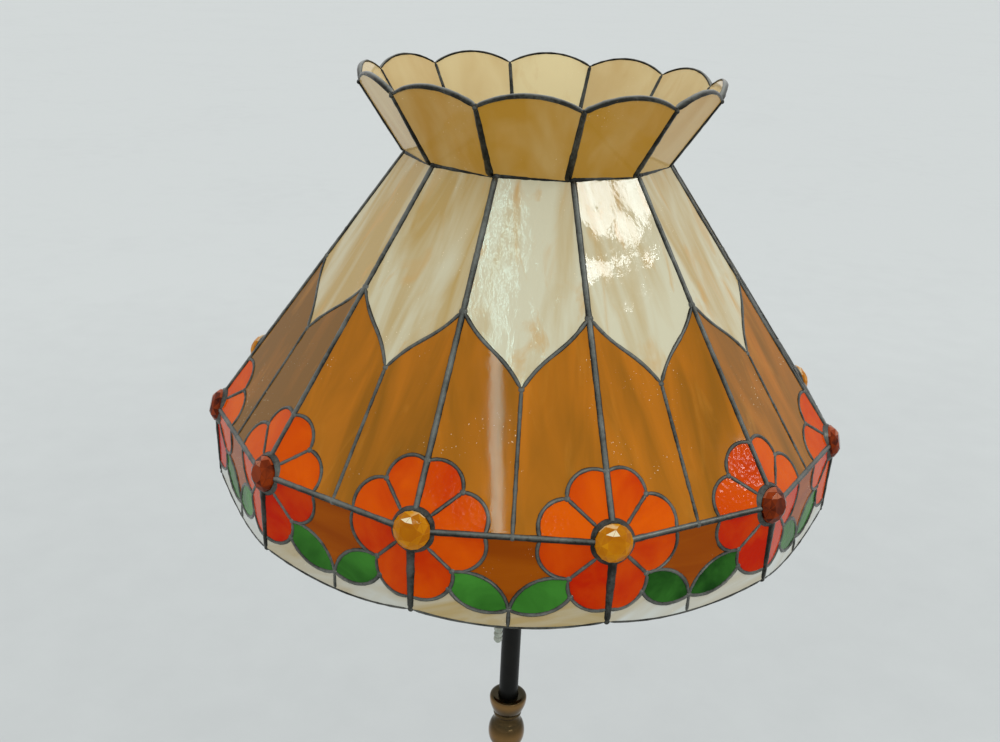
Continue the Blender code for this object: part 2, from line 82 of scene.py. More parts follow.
# Petals, by their distance from the belt's corner and their degrees above the belt
PETAL_START = 12.8
SPOKE_START = 14.5
SIDE_REACH = 47.5
PETAL_SPLIT = 40.0
SPLIT_REACH = 41.5
SEAM_ANGLE = 81.0
SEAM_REACH = 46.5
LOW_SPLIT = -46.0
LOW_SPLIT_REACH = 39.5
LOW_SEAM_ANGLE = -89.5
LOW_SEAM_REACH = 49.5
SIDE_UPPER_BULGE = (50.5, 20.0)
TOP_BULGE = (50.5, 61.0)
SIDE_LOWER_BULGE = (50.0, -22.5)
BOTTOM_BULGE = (52.5, -68.0)

# Panes, in millimetres
GLASS = 3.0
PANE_GAP = 0.35  # between a pane's edge and the middle of its lead line
EDGE_BAND = 3.4  # the stained band along a pane's edge
LARGE_PITCH = 6.0  # of the grid on a pane's faces
MIDDLE_PITCH = 5.0
SMALL_PITCH = 4.0
GRAIN_UNIT = 100.0  # millimetres to one unit of a pane's grain
SHEET = 50.0  # how far from the middle of the sheet a pane can be cut, in units of grain
FACE_GRAIN = 0.02  # from the middle of the sheet to its faces, in units of grain
ASKEW = 4.0  # how far a pane can be turned in its sheet, in degrees
RIPPLE_UNIT = 26.0
FACES_APART = 20.0  # so that the two faces of a pane ripple differently
FINE_RIPPLE = 0.35  # the finer ripple, as a share of the broad one
FINE_RIPPLE_SCALE = 2.7
WAVY = 0.50  # ripple of the most uneven pane
CREAM_RIPPLE = 0.30
CROWN_RIPPLE = 0.14
SMALL_RIPPLE = 0.12
SKIRT_RIPPLE = 0.10
AMBER_RIPPLE = 0.02
SHIELD_TURN = 90  # how far the streaks are turned, in degrees
BORDER_TURN = 70

# Tones of the panes, side by side from side 0: pale is 1, deep is 0. Most of the spread is the glass's
# own; the crown's and two of the amber tones are painted light and shade
CREAM_TONES = (0.86, 0.42, 0.60, 0.35, 0.70, 0.50, 0.80, 0.40, 0.55, 0.12, 0.32, 0.92)
# Sides 2 and 9 of the amber panes are set deep as painted shade
AMBER_TONES = (0.55, 0.32, 0.05, 0.35, 0.50, 0.55, 0.45, 0.60, 0.22, 0.00, 0.42, 0.54)
BORDER_TONES = (0.84, 0.95, 0.60, 0.85, 0.70, 0.30, 0.80, 0.90, 0.60, 0.85, 0.42, 0.05)
# Crown panes: painted shade at the front, where their outer faces look down, painted light at the back
CROWN_TONES = (0.02, 0.34, 0.62, 0.60, 0.60, 1.00, 0.72, 0.60, 0.66, 0.42, 0.17, 0.05)
LEAF_TONES = (0.10, 0.30, 0.60, 0.50, 0.60, 0.50, 0.60, 0.50, 0.60, 0.50, 0.45, 0.66)
PETAL_TONES = {"side_upper": 0.78, "top": 0.72, "side_lower": 0.36, "bottom": 0.30}
SHIELD_TONE = 0.45
AMBER_SPREAD = 0.1  # how far a pane's tone can be from the one it is given
LEAF_SPREAD = 0.12
PETAL_SPREAD = 0.25

# Half widths of the lead lines, in metres
SEAM_LEAD = 0.0025
BELT_LEAD = 0.0024
NECK_LEAD = 0.0033
CROWN_LEAD = 0.0023
EDGE_LEAD = 0.0019
FINE_LEAD = 0.0018
BRIM_LEAD = 0.0013
RIM_LEAD = 0.0012
SKIRT_TAPER = (0.9, 0.7)  # share of the half width at a line's start, and its change along the line
CROWN_TAPER = (1.35, -0.45)

# Lead lines: half the thickness, how lumpy, how bright the band along the line's top is, from 0 to 1,
# worn patina with a painted highlight, set low as painted shade on lines that face down, and how far round
# from the line's top that painted highlight is turned towards the light
LEAD_RISE = 0.0027
FINE_LINE = {"half_height": LEAD_RISE * 0.92, "lumps": 0.10, "shine": 0.30}
CONE_LINE = {"half_height": LEAD_RISE, "lumps": 0.07, "shine": 0.34}
SKIRT_LINE = {"half_height": LEAD_RISE, "lumps": 0.08, "shine": 0.12}
BELT_LINE = {"half_height": LEAD_RISE, "lumps": 0.09, "shine": 0.38, "highlight_lean": math.radians(35)}
NECK_LINE = {"half_height": LEAD_RISE, "lumps": 0.10, "shine": 0.02}
CROWN_LINE = {"half_height": LEAD_RISE, "lumps": 0.08, "shine": 0.10}
BRIM_LINE = {"half_height": LEAD_RISE * 0.88, "lumps": 0.13, "shine": 0.62, "highlight_lean": math.radians(50)}
RIM_LINE = {"half_height": LEAD_RISE * 0.8, "lumps": 0.12, "shine": 0.12}
LEAD_STEP = 0.003  # between the points of a line
COARSE_LUMPS = 160
FINE_LUMPS = 420
BRIGHT_BAND_FROM = 0.65  # height on a line's section, as a share of its top, where the bright band of worn patina and painted highlight starts
BRIGHT_BAND_OVER = 0.33
BRIM_DROP = 1.2  # from the crown's outline to the line along it, in millimetres
RIM_LIFT = 0.4

# Solder joints: radius as a share of a line's half width, and half the thickness as a share of LEAD_RISE
JOINTS = {
    "fine": (1.5, 1.0),
    "shoulder": (1.35, 1.1),
    "petal": (1.2, 1.08),
    "belt": (1.2, 1.05),
    "neck": (1.2, 1.1),
    "brim": (0.9, 1.0),
    "foot": (0.9, 0.9),
}
JOINT_SHINE = 0.3
PLAIN_SHINE = 0.5  # of any other metal
PETAL_JOINT = 0.186  # share of the way up the cone's seam to the joint between the top petals
BRIM_JOINT_DROP = 0.0015

# Jewels, in metres. Each ring of corners has a radius, a height, a count, and a turn in spacings
JEWEL_TILT = math.radians(15)
JEWEL_STANDOFF = -0.0014
GIRDLE = 0.0129
JEWEL_LEVELS = (
    (0.0064, 0.0067, 8, 0.5),
    (0.0100, 0.0048, 8, 0.0),
    (GIRDLE, 0.0014, 16, 0.25),
    (GIRDLE, -0.0045, 16, 0.25),
)
JEWEL_BEVEL = 0.00012
FACET_TONES = (0.05, 0.65)
EDGE_TONE = 1.2  # of the facets that face up along the shade, which catch more light
EDGE_FACING = 0.7  # least share of a facet's direction that points up for that
PAINTED_GLINT_FACING = Vector((-0.14, 0.39, 0.91))  # where the facets with a painted reflection of the window face, in the jewel's own frame
# The facets that face that way get a painted reflection, paler than any other facet
PAINTED_GLINT_TONE = 1.6
PAINTED_GLINT_COUNT = 2
LARGE_FACET = 4e-6  # square metres

# The bead of solder round a jewel. Its section: radius, height above the glass, share of the way up
# to the jewel's own height, and how bright it is, worn patina with a painted highlight on its top
RING_TOP = -0.0002
RING_SHINE = 0.10
RING_LEVELS = (
    (0.0126, -0.0015, 0.0, 0.0),
    (0.0126, 0.0, 1.0, 0.0),
    (0.0134, 0.0, 1.0, RING_SHINE),
    (0.0144, 0.0006, 0.62, RING_SHINE * 1.3),
    (0.0154, 0.0012, 0.25, RING_SHINE * 1.3),
    (0.0162, 0.0004, 0.0, 0.0),
    (0.0160, -0.0015, 0.0, 0.0),
)
RING_SIDES = 40
RING_LUMPS = 0.0002
RING_LUMP_SCALE = 230
RING_SEED = 7  # of the lumps

# The stand, in metres
TUBE_RADIUS = 0.0090
TUBE_WALL = 0.0010
PIPE_CLEAR = 0.0054  # radius of the holes for the lamp pipe
FIT = 0.0002  # clearance between pieces that touch
BUN_RISE = 0.0390
COLLAR_RISE = 0.042  # from the base to the middle of the collar's vase

# Turned pieces: how bright they are all over, worn patina and painted light, how much more painted
# highlight their bulges get, and the share of the widest radius below which they get none
OVERALL_BRIGHTNESS = 0.24
BULGE_HIGHLIGHT = 0.70
HIGHLIGHT_FROM = 0.72

# Materials
STAIN = (0.17, 0.135, 0.10)
STREAKY_STAIN = 0.45
HAMMERED_STAIN = 0.35
# Painted highlights: sparse sparkles of light off small bumps in the glass
PAINTED_SPARKLE = (0.92, 0.80, 0.55)
SPARKLE_SCALE = 75.0
SPARKLE_RANGE = (0.73, 0.76)
GATHERED_SCALE = 2.2
GATHERED_RANGE = (0.56, 0.66)
# Colour of the painted reflection of the window on a jewel's brightest facets
PAINTED_GLINT_COLOUR = (0.84, 0.76, 0.52)
NOISE_RANGE = (0.3, 0.7)  # most values of a noise lie between these
# The floor is painted darker near the lamp and paler far away, a painted fall-off of light
FLOOR_NEAR = (0.585, 0.605, 0.60)
FLOOR_FAR = (0.69, 0.715, 0.705)

# Light and camera
SKY = (0.97, 0.99, 1.0, 1.0)
SKY_STRENGTH = 0.96
CAMERA_AT = (-0.2144, -0.8381, 1.6071)
CAMERA_TURNS = ((-12.91, "Z"), (68.25, "X"), (2.56, "Z"))  # pan, tilt and roll, in degrees
SENSOR = 36.0  # millimetres
FOCAL_LENGTH = 39.59


# ---------------------------------------------------------------- meshes


class Shape:
    """Points and faces collected for one mesh."""

    def __init__(self):
        self.points = []
        self.faces = []
        self.shine = []

    def ring(self, points, shine=None):
        """Adds points, with how bright each one is painted, and returns their numbers."""
        first = len(self.points)
        self.points.extend(Vector(point) for point in points)
        count = len(self.points) - first
        self.shine.extend(shine or [PLAIN_SHINE] * count)
        return list(range(first, len(self.points)))

    def bridge(self, low, high):
        """Joins two closed rings, or a ring and a single point."""
        count = max(len(low), len(high))
        for i in range(count):
            j = (i + 1) % count
            corners = [low[i % len(low)], low[j % len(low)], high[j % len(high)], high[i % len(high)]]
            self.faces.append(list(dict.fromkeys(corners)))

    def turned(self, outline, sides, place=Matrix()):
        """A turned body from (radius, height) points. An outline off the axis is closed into a tube."""
        rings = []
        for radius, height in outline:
            count = sides if radius > 0 else 1
            turns = [math.tau * i / sides for i in range(count)]
            points = [Vector((radius * math.cos(a), radius * math.sin(a), height)) for a in turns]
            rings.append(self.ring([place @ point for point in points]))
        for low, high in zip(rings, rings[1:]):
            self.bridge(low, high)
        if outline[0][0] > 0:
            self.bridge(rings[-1], rings[0])

    def run(
        self, path, out, half_width, half_height, sides=12, lumps=0.0, ends=0.6, shine=PLAIN_SHINE, highlight_lean=0.0
    ):
        """A bead of oval section along a path. Out is the direction that the section's height follows.
        The half width is one number, or one for each point of the path.

        The bead is brightest along its top, worn patina with a painted highlight on it, which the lean turns
        round towards the light, and it stays dark where it meets the glass, patina with painted shade."""
        rings = []
        last = len(path) - 1
        section = [math.tau * j / sides for j in range(sides)]
        # Painted highlight along the bead's top, turned round by the lean, over worn patina
        heights = [abs(math.sin(a - highlight_lean)) for a in section]
        wear_and_highlight = [shine * min(max((height - BRIGHT_BAND_FROM) / BRIGHT_BAND_OVER, 0.0), 1.0) for height in heights]
        for i, point in enumerate(path):
            along = (path[min(i + 1, last)] - path[max(i - 1, 0)]).normalized()
            across = along.cross(out).normalized()
            rise = across.cross(along)
            wave = 1 + lumps * noise.noise(point * COARSE_LUMPS) + lumps * noise.noise(point * FINE_LUMPS)
            size = wave * (ends if i in (0, last) else 1.0)
            wide = across * size * (half_width[i] if isinstance(half_width, list) else half_width)
            tall = rise * half_height * size
            oval_ring = [point + wide * math.cos(a) + tall * math.sin(a) for a in section]
            rings.append(self.ring(oval_ring, wear_and_highlight))
        for low, high in zip(rings, rings[1:]):
            self.bridge(low, high)
        self.faces.append(rings[0][::-1])
        self.faces.append(rings[-1])

    def blob(self, at, out, radius, half_height, sides=12, shine=JOINT_SHINE):
        """A flattened drop of solder, worn patina with a painted highlight on its outer half, darker on its
        inner half.
        """
        first = len(self.points)
        turns = [math.pi * i / 6 for i in range(7)]
        outline = [(radius * math.sin(a), half_height * math.cos(a)) for a in turns]
        outline[0] = (0.0, half_height)
        outline[-1] = (0.0, -half_height)
        self.turned(outline, sides, facing(at, out))
        count = len(self.points) - first
        # The outer half gets worn patina with a painted highlight, the inner half little
        self.shine[first:] = [shine if i <= 2 * sides else 0.1 * shine for i in range(count)]

    def joint(self, kind, at, out, half_width, shine=JOINT_SHINE):
        """A solder joint on a lead line."""
        wide, tall = JOINTS[kind]
        self.blob(at, out, half_width * wide, LEAD_RISE * tall, shine=shine)

    def mesh(self, name, sharp=math.radians(40)):
        """The finished mesh, with its faces out and its round parts smooth."""
        mesh = bpy.data.meshes.new(name)
        mesh.from_pydata(self.points, [], self.faces)
        shape = bmesh.new()
        shape.from_mesh(mesh)
        bmesh.ops.recalc_face_normals(shape, faces=shape.faces)
        shape.to_mesh(mesh)
        shape.free()
        mesh.attributes.new("shine", "FLOAT", "POINT").data.foreach_set("value", self.shine)
        mesh.shade_smooth()
        mesh.set_sharp_from_angle(angle=sharp)
        return mesh


def raised(height):
    """The matrix that lifts a shape on the lamp's axis."""
    return Matrix.Translation((0, 0, height))


def facing(at, out):
    """The matrix that turns a shape's own Z axis to a direction and moves the shape to a point."""
    return Matrix.Translation(at) @ out.to_track_quat("Z", "Y").to_matrix().to_4x4()


def add_piece(name, mesh, material, body, slot, *nodes):
    """Puts a finished mesh in the scene as a piece that rides on a body and stands for CAD nodes."""
    piece = bpy.data.objects.new(name, mesh)
    mesh.materials.append(material)
    bpy.context.scene.collection.objects.link(piece)
    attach(piece, body)
    if nodes:
        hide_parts(*nodes)
    return piece


def oval(radius, height, wide, tall, start, end, steps):
    """Points on an ellipse about (radius, height), between two angles in degrees."""
    turns = [math.radians(start + (end - start) * i / steps) for i in range(steps + 1)]
    return [(radius + wide * math.cos(a), height + tall * math.sin(a)) for a in turns]


def smoothed(points, steps):
    """A Catmull-Rom curve through points of any dimension."""
    points = [Vector(point) for point in points]
    ends = [points[0] * 2 - points[1]] + points + [points[-1] * 2 - points[-2]]
    curve = []
    for a, b, c, d in zip(ends, ends[1:], ends[2:], ends[3:]):
        for i in range(steps):
            t = i / steps
            cubic = (b * 3 - c * 3 + d - a) * t**3
            square = (a * 2 - b * 5 + c * 4 - d) * t**2
            curve.append((cubic + square + (c - a) * t + b * 2) / 2)
    return curve + [points[-1]]


def curved(points, steps):
    """A smoothed outline, as pairs."""
    return [tuple(point) for point in smoothed(points, steps)]


def spaced(points, step):
    """The same polyline with a point about every step."""
    path = [points[0]]
    for start, end in zip(points, points[1:]):
        count = max(1, round((end - start).length / step))
        path.extend(start.lerp(end, (i + 1) / count) for i in range(count))
    return path


# ---------------------------------------------------------------- the shade's frames and outlines


def corner(number, radius, rise):
    """A point on a seam of the shade."""
    angle = number * STEP
    return Vector((radius * math.sin(angle), -radius * math.cos(angle), BELT_Z + rise))


def seam_way(number):
    """The level direction that a seam faces."""
    angle = number * STEP
    return Vector((math.sin(angle), -math.cos(angle), 0))


def flat_frame(left, right, up):
    """The matrix from a side's flat millimetres to the model."""
    u = (right - left).normalized()
    v = up.normalized()
    turn = Matrix((u, v, u.cross(v))).transposed().to_4x4()
    return Matrix.Translation(left) @ turn @ Matrix.Scale(MM, 4)


def middle(number, radius, rise):
    """The point half-way between two neighbouring corners."""
    return (corner(number, radius, rise) + corner(number + 1, radius, rise)) / 2


def side_frame(number, base, low, high):
    """The frame of a side between a low and a high ring, with its origin on the base ring."""
    up = middle(number, *high) - middle(number, *low)
    return flat_frame(corner(number, *base), corner(number + 1, *base), up)


def cone_frame(number):
    return side_frame(number, BELT_RING, BELT_RING, NECK_RING)


def skirt_frame(number):
    return side_frame(number, BELT_RING, RIM_RING, BELT_RING)


def crown_frame(number):
    return side_frame(number + CROWN_TURN, NECK_RING, NECK_RING, CROWN_RING)


BELT_WIDTH = 2 * BELT_RADIUS * math.sin(STEP / 2) / MM
NECK_WIDTH = 2 * NECK_RADIUS * math.sin(STEP / 2) / MM
CROWN_WIDTH = 2 * CROWN_RADIUS * math.sin(STEP / 2) / MM
RIM_WIDTH = 2 * RIM_RADIUS * math.sin(STEP / 2) / MM
CONE_SLANT = (middle(0, *NECK_RING) - middle(0, *BELT_RING)).length / MM
CROWN_SLANT = (middle(0, *CROWN_RING) - middle(0, *NECK_RING)).length / MM
HALF = BELT_WIDTH / 2
NECK_LEFT = (BELT_WIDTH - NECK_WIDTH) / 2
CROWN_LEFT = (NECK_WIDTH - CROWN_WIDTH) / 2
RIM_LEFT = (BELT_WIDTH - RIM_WIDTH) / 2


def polar(radius, degrees):
    """A point given from the belt's left corner."""
    angle = math.radians(degrees)
    return (radius * math.cos(angle), radius * math.sin(angle))


def arc(start, through, end, steps=12):
    """Points on the circle through three points, ends included."""
    a, b, c = (complex(*point) for point in (start, through, end))
    turn = (c - a) / (b - a)
    centre = a + (b - a) * (turn - abs(turn) ** 2) / (turn - turn.conjugate())
    first = math.atan2((a - centre).imag, (a - centre).real)
    halves = []
    for point in (b, c):
        angle = math.atan2((point - centre).imag, (point - centre).real)
        halves.append((angle - first) % math.tau)
    sweep = halves[1] if halves[0] < halves[1] else halves[1] - math.tau
    radius = abs(a - centre)
    turns = [first + sweep * i / steps for i in range(steps + 1)]
    return [(centre.real + radius * math.cos(t), centre.imag + radius * math.sin(t)) for t in turns]


def bowed(start, end, rise, steps=10):
    """An arc between two points that stands to the left of its chord by rise half-way."""
    along = complex(*end) - complex(*start)
    top = (complex(*start) + complex(*end)) / 2 + along / abs(along) * 1j * rise
    return arc(start, (top.real, top.imag), end, steps)


def swayed(start, end, sway, steps=16):
    """A line that sways like an S by sway to each side of its chord."""
    along = complex(*end) - complex(*start)
    side = along / abs(along) * 1j * sway
    swing = [side * math.sin(math.tau * i / steps) for i in range(steps + 1)]
    points = [complex(*start) + along * i / steps + swing[i] for i in range(steps + 1)]
    return [(point.real, point.imag) for point in points]


def mirrored(points):
    """The same outline on the right-hand half of a side, still anticlockwise."""
    return [(BELT_WIDTH - u, v) for u, v in reversed(points)]


NECK_CORNER = (NECK_LEFT, CONE_SLANT)
SHOULDER_POINT = (NECK_LEFT * SHOULDER / CONE_SLANT, SHOULDER)
TIP_POINT = (HALF, TIP)
BELT_MIDDLE = (HALF, 0.0)
LEAF_POINT = (HALF, LEAF_TIP)
RIM_CORNER = (RIM_LEFT, -RIM_DROP / MM)
RIM_POINT = (HALF, RIM_MIDDLE)

CREAM_EDGE = swayed(SHOULDER_POINT, TIP_POINT, -EDGE_SWAY)
SIDE_POINT = polar(SIDE_REACH, 0)
SPLIT_POINT = polar(SPLIT_REACH, PETAL_SPLIT)
LOW_SPLIT_POINT = polar(LOW_SPLIT_REACH, LOW_SPLIT)
UPPER_PETAL = arc(SIDE_POINT, polar(*SIDE_UPPER_BULGE), SPLIT_POINT)
TOP_PETAL = arc(SPLIT_POINT, polar(*TOP_BULGE), polar(SEAM_REACH, SEAM_ANGLE))
LOWER_PETAL = arc(SIDE_POINT, polar(*SIDE_LOWER_BULGE), LOW_SPLIT_POINT)
BOTTOM_PETAL = arc(LOW_SPLIT_POINT, polar(*BOTTOM_BULGE), polar(LOW_SEAM_REACH, LOW_SEAM_ANGLE))
LEAF_FOOT = 4  # the step along the bottom petal's edge where the leaf's lower edge meets it
LEAF_TOP = bowed(BOTTOM_PETAL[0], LEAF_POINT, LEAF_TOP_BOW)
LEAF_UNDER = bowed(BOTTOM_PETAL[LEAF_FOOT], LEAF_POINT, LEAF_UNDER_BOW)
RIM_EDGE = arc(RIM_CORNER, RIM_POINT, (BELT_WIDTH - RIM_LEFT, -RIM_DROP / MM), 24)
CROWN_TOP = arc(
    (CROWN_LEFT + CROWN_WIDTH, CROWN_SLANT),
    (NECK_WIDTH / 2, CROWN_SLANT + LOBE),
    (CROWN_LEFT, CROWN_SLANT),
    20,
)


def inner_arc(start, end):
    """The petals' ends beside the jewel, from one angle to another."""
    return [polar(PETAL_START, start + (end - start) * i / 5) for i in range(6)]


# Left-hand panes of a side, anticlockwise. Their right-hand twins are mirrored from them.
AMBER = [SHOULDER_POINT] + TOP_PETAL[::-1] + UPPER_PETAL[-2::-1] + [BELT_MIDDLE, TIP_POINT]
AMBER += CREAM_EDGE[-2:0:-1]
PETALS = {
    "side_upper": UPPER_PETAL + inner_arc(PETAL_SPLIT, 0),
    "top": TOP_PETAL + inner_arc(SEAM_ANGLE, PETAL_SPLIT),
    "side_lower": LOWER_PETAL[::-1] + inner_arc(0, LOW_SPLIT),
    "bottom": BOTTOM_PETAL[::-1] + inner_arc(LOW_SPLIT, LOW_SEAM_ANGLE),
}
LEAF = BOTTOM_PETAL[: LEAF_FOOT + 1] + LEAF_UNDER[1:] + LEAF_TOP[-2:0:-1]
BORDER = BOTTOM_PETAL[LEAF_FOOT:] + RIM_EDGE[:13] + LEAF_UNDER[::-1][:-1]

# Panes on the middle of a side
CREAM = [NECK_CORNER] + CREAM_EDGE + mirrored(CREAM_EDGE)[1:] + [(BELT_WIDTH - NECK_LEFT, CONE_SLANT)]
SHIELD = LOWER_PETAL + LEAF_TOP[1:] + mirrored(LEAF_TOP)[1:] + mirrored(LOWER_PETAL)[1:]
CROWN = [(0.0, 0.0), (NECK_WIDTH, 0.0)] + CROWN_TOP


# ---------------------------------------------------------------- panes


def shrunk(outline, distance):
    """A closed anticlockwise outline moved inwards."""
    moved = []
    count = len(outline)
    longest = 3.0  # a sharp corner moves at most this many times as far as the edges
    for i, point in enumerate(outline):
        before = complex(*point) - complex(*outline[i - 1])
        after = complex(*outline[(i + 1) % count]) - complex(*point)
        left = [side / abs(side) * 1j for side in (before, after)]
        both = left[0] + left[1]
        reach = min(1 / max(abs(both) ** 2 / 2, 1e-6), longest)
        spot = complex(*point) + both * reach * distance
        moved.append((spot.real, spot.imag))
    return moved


class Plate:
    """A flat pane with a fine grid on both faces, kept once for all twelve sides."""

    def __init__(self, outline, pitch):
        shape = bmesh.new()
        edge = shape.verts.layers.float.new("edge")
        face = shape.faces.new([shape.verts.new((u, v, 0)) for u, v in shrunk(outline, PANE_GAP)])
        for vert in shape.verts:
            vert[edge] = 1.0
        bmesh.ops.inset_region(shape, faces=[face], thickness=EDGE_BAND, use_even_offset=True)
        for vert in face.verts:
            vert[edge] = 0.0
        for axis in (0, 1):
            low = min(point[axis] for point in outline)
            high = max(point[axis] for point in outline)
            count = math.ceil((high - low) / pitch)
            normal = Vector((1 - axis, axis, 0))
            for i in range(1, count):
                bmesh.ops.bisect_plane(
                    shape,
                    geom=shape.verts[:] + shape.edges[:] + shape.faces[:],
                    dist=1e-4,
                    plane_co=normal * (low + (high - low) * i / count),
                    plane_no=normal,
                )
        crowded = [face for face in shape.faces if len(face.verts) > 4]
        bmesh.ops.triangulate(shape, faces=crowded)
        shape.normal_update()
        if sum(face.normal.z for face in shape.faces) < 0:
            bmesh.ops.reverse_faces(shape, faces=shape.faces)
        shape.verts.index_update()
        self.spots = [(vert.co.x, vert.co.y) for vert in shape.verts]
        self.edge = [vert[edge] for vert in shape.verts]
        count = len(self.spots)
        front = [[vert.index for vert in face.verts] for face in shape.faces]
        back = [[number + count for number in reversed(face)] for face in front]
        walls = []
        for face in shape.faces:
            for loop in face.loops:
                if loop.edge.is_boundary:
                    a, b = loop.vert.index, loop.link_loop_next.vert.index
                    walls.append([b, a, a + count, b + count])
        self.faces = front + back + walls
        shape.free()

    def pane(self, name, place, tone, ripple, turn):
        """One pane: its own ripple, its own place in the sheet of glass it was cut from, and its tone."""
        dice = random.Random(name)
        shift = Vector([dice.uniform(-SHEET, SHEET) for _ in range(3)])
        angle = math.radians(turn + dice.uniform(-ASKEW, ASKEW))
        spin = Matrix.Rotation(angle, 3, "Z")
        points = []
        grain = []
        for face in (1, -1):
            for u, v in self.spots:
                spot = Vector((u, v, FACES_APART * face)) / RIPPLE_UNIT + shift
                wave = ripple * (noise.noise(spot) + FINE_RIPPLE * noise.noise(spot * FINE_RIPPLE_SCALE))
                points.append(place @ Vector((u, v, face * GLASS / 2 + wave)))
                grain.append(spin @ Vector((u / GRAIN_UNIT, v / GRAIN_UNIT, face * FACE_GRAIN)) + shift)
        mesh = bpy.data.meshes.new(name)
        mesh.from_pydata(points, [], self.faces)
        layer = mesh.attributes.new("grain", "FLOAT_VECTOR", "POINT")
        layer.data.foreach_set("vector", [value for spot in grain for value in spot])
        shades = mesh.attributes.new("tone", "FLOAT", "POINT")
        shades.data.foreach_set("value", [tone] * len(points))
        mesh.attributes.new("edge", "FLOAT", "POINT").data.foreach_set("value", self.edge * 2)
        mesh.shade_smooth()
        mesh.set_sharp_from_angle(angle=math.radians(45))
        return mesh


# ---------------------------------------------------------------- materials


class Finish:
    """A Principled material and the nodes that feed it."""

    def __init__(self, name, **settings):
        self.material = bpy.data.materials.new(name)
        self.material.use_nodes = True
        self.tree = self.material.node_tree
        self.shader = self.tree.nodes["Principled BSDF"]
        for label, value in settings.items():
            self.set(label.replace("_", " ").title(), value)

    def set(self, label, value):
        """Sets or links one socket of the shader."""
        self.feed(self.shader.inputs[label.replace("Ior", "IOR")], value)

    def feed(self, socket, value):
        """Sets a socket to a value, or links it."""
        if isinstance(value, bpy.types.NodeSocket):
            self.tree.links.new(value, socket)
        elif isinstance(value, tuple) and len(value) == 3 and socket.type == "RGBA":
            socket.default_value = (*value, 1.0)
        else:
            socket.default_value = value

    def node(self, kind, inputs, **options):
        """A node with its inputs fed and its options set."""
        made = self.tree.nodes.new(kind)
        for label, value in options.items():
            setattr(made, label, value)
        for label, value in inputs.items():
            self.feed(made.inputs[label], value)
        return made

    def place(self):
        return self.node("ShaderNodeTexCoord", {}).outputs["Object"]

    def grain(self):
        return self.node("ShaderNodeAttribute", {}, attribute_name="grain").outputs["Vector"]

    def value(self, name):
        """A number kept on the mesh: tone, edge or shine."""
        return self.node("ShaderNodeAttribute", {}, attribute_name=name).outputs["Fac"]

    def stretch(self, vector, scale):
        return self.node("ShaderNodeMapping", {"Vector": vector, "Scale": scale}).outputs[0]

    def noise(self, vector, scale, detail=4.0, rough=0.55, distortion=0.0):
        inputs = {"Vector": vector, "Scale": scale, "Detail": detail}
        inputs |= {"Roughness": rough, "Distortion": distortion}
        return self.node("ShaderNodeTexNoise", inputs).outputs[0]

    def cells(self, vector, scale):
        inputs = {"Vector": vector, "Scale": scale, "Smoothness": 0.6}
        return self.node("ShaderNodeTexVoronoi", inputs, feature="SMOOTH_F1").outputs["Distance"]

    def span(self, value, low, high, to_low=0.0, to_high=1.0):
        """Maps a range of values to another, and clamps it."""
        inputs = {"Value": value, "From Min": low, "From Max": high, "To Min": to_low, "To Max": to_high}
        return self.node("ShaderNodeMapRange", inputs).outputs[0]

    def level(self, value, low, high):
        """Maps the usual range of a noise to another."""
        return self.span(value, *NOISE_RANGE, low, high)

    def sum(self, first, second, operation="ADD"):
        made = self.node("ShaderNodeMath", {}, operation=operation)
        self.feed(made.inputs[0], first)
        self.feed(made.inputs[1], second)
        return made.outputs[0]

    def mix(self, share, first, second):
        made = self.node("ShaderNodeMix", {}, data_type="RGBA")
        self.feed(made.inputs[0], share)
        self.feed(made.inputs[6], first)
        self.feed(made.inputs[7], second)
        return made.outputs[2]

    def blend(self, share, dark, pale):
        """Mixes two colours, from dark at 0 and below to pale at 1 and above."""
        return self.mix(self.span(share, 0.0, 1.0), dark, pale)

    def bump(self, height, strength, distance):
        inputs = {"Height": height, "Strength": strength, "Distance": distance}
        self.set("Normal", self.node("ShaderNodeBump", inputs).outputs[0])


def stained(glass, grain, body, share):
    """Adds the grey flux stain that runs along a pane's edge."""
    ragged = glass.sum(glass.value("edge"), glass.level(glass.noise(grain, 12.0, 4.0), -0.25, 0.25))
    return glass.mix(glass.span(ragged, 0.35, 1.05, 0.0, share), body, STAIN)


def add_painted_sparkles(glass, grain, body):
    """Adds sparse painted highlights, small sparkles of light off bumps in the glass, gathered in places."""
    grains = glass.span(glass.noise(grain, SPARKLE_SCALE, 1.0), *SPARKLE_RANGE)
    gathered = glass.span(glass.noise(grain, GATHERED_SCALE, 2.0), *GATHERED_RANGE)
    return glass.mix(glass.sum(grains, gathered, "MULTIPLY"), body, PAINTED_SPARKLE)


def streaky_glass(
    name,
    dark,
    pale,
    wisp,
    streaks=(5.0, 0.8, 3.0),
    spread=0.4,
    wisps=0.5,
    texture=0.1,
    gloss=0.25,
    rough=0.06,
):
    """Rolled glass: two tones drawn out along the sheet, wisps of a third, painted sparkles of light and a
    rippled face.
    """
    glass = Finish(name, specular_ior_level=gloss, ior=1.5)
    grain = glass.grain()
    flow = glass.noise(glass.stretch(grain, streaks), 1.0, 3.5, 0.5, 0.5)
    share = glass.sum(glass.span(flow, 0.32, 0.68, -spread, spread), glass.value("tone"))
    body = glass.blend(share, dark, pale)
    wander = glass.noise(glass.stretch(grain, (4.6, 1.5, 3.0)), 1.0, 4.0, 0.55, 0.9)
    body = glass.mix(glass.span(wander, 0.55, 0.72, 0.0, wisps), body, wisp)
    # Painted sparkles of light on top of the stained colour
    glass.set("Base Color", add_painted_sparkles(glass, grain, stained(glass, grain, body, STREAKY_STAIN)))
    glass.set("Roughness", glass.level(glass.noise(grain, 14.0), rough * 0.6, rough * 1.4))
    ripple = glass.noise(glass.stretch(grain, (1.0, 0.6, 1.0)), 13.0, 3.0)
    glass.bump(ripple, texture, 0.0006)
    return glass.material


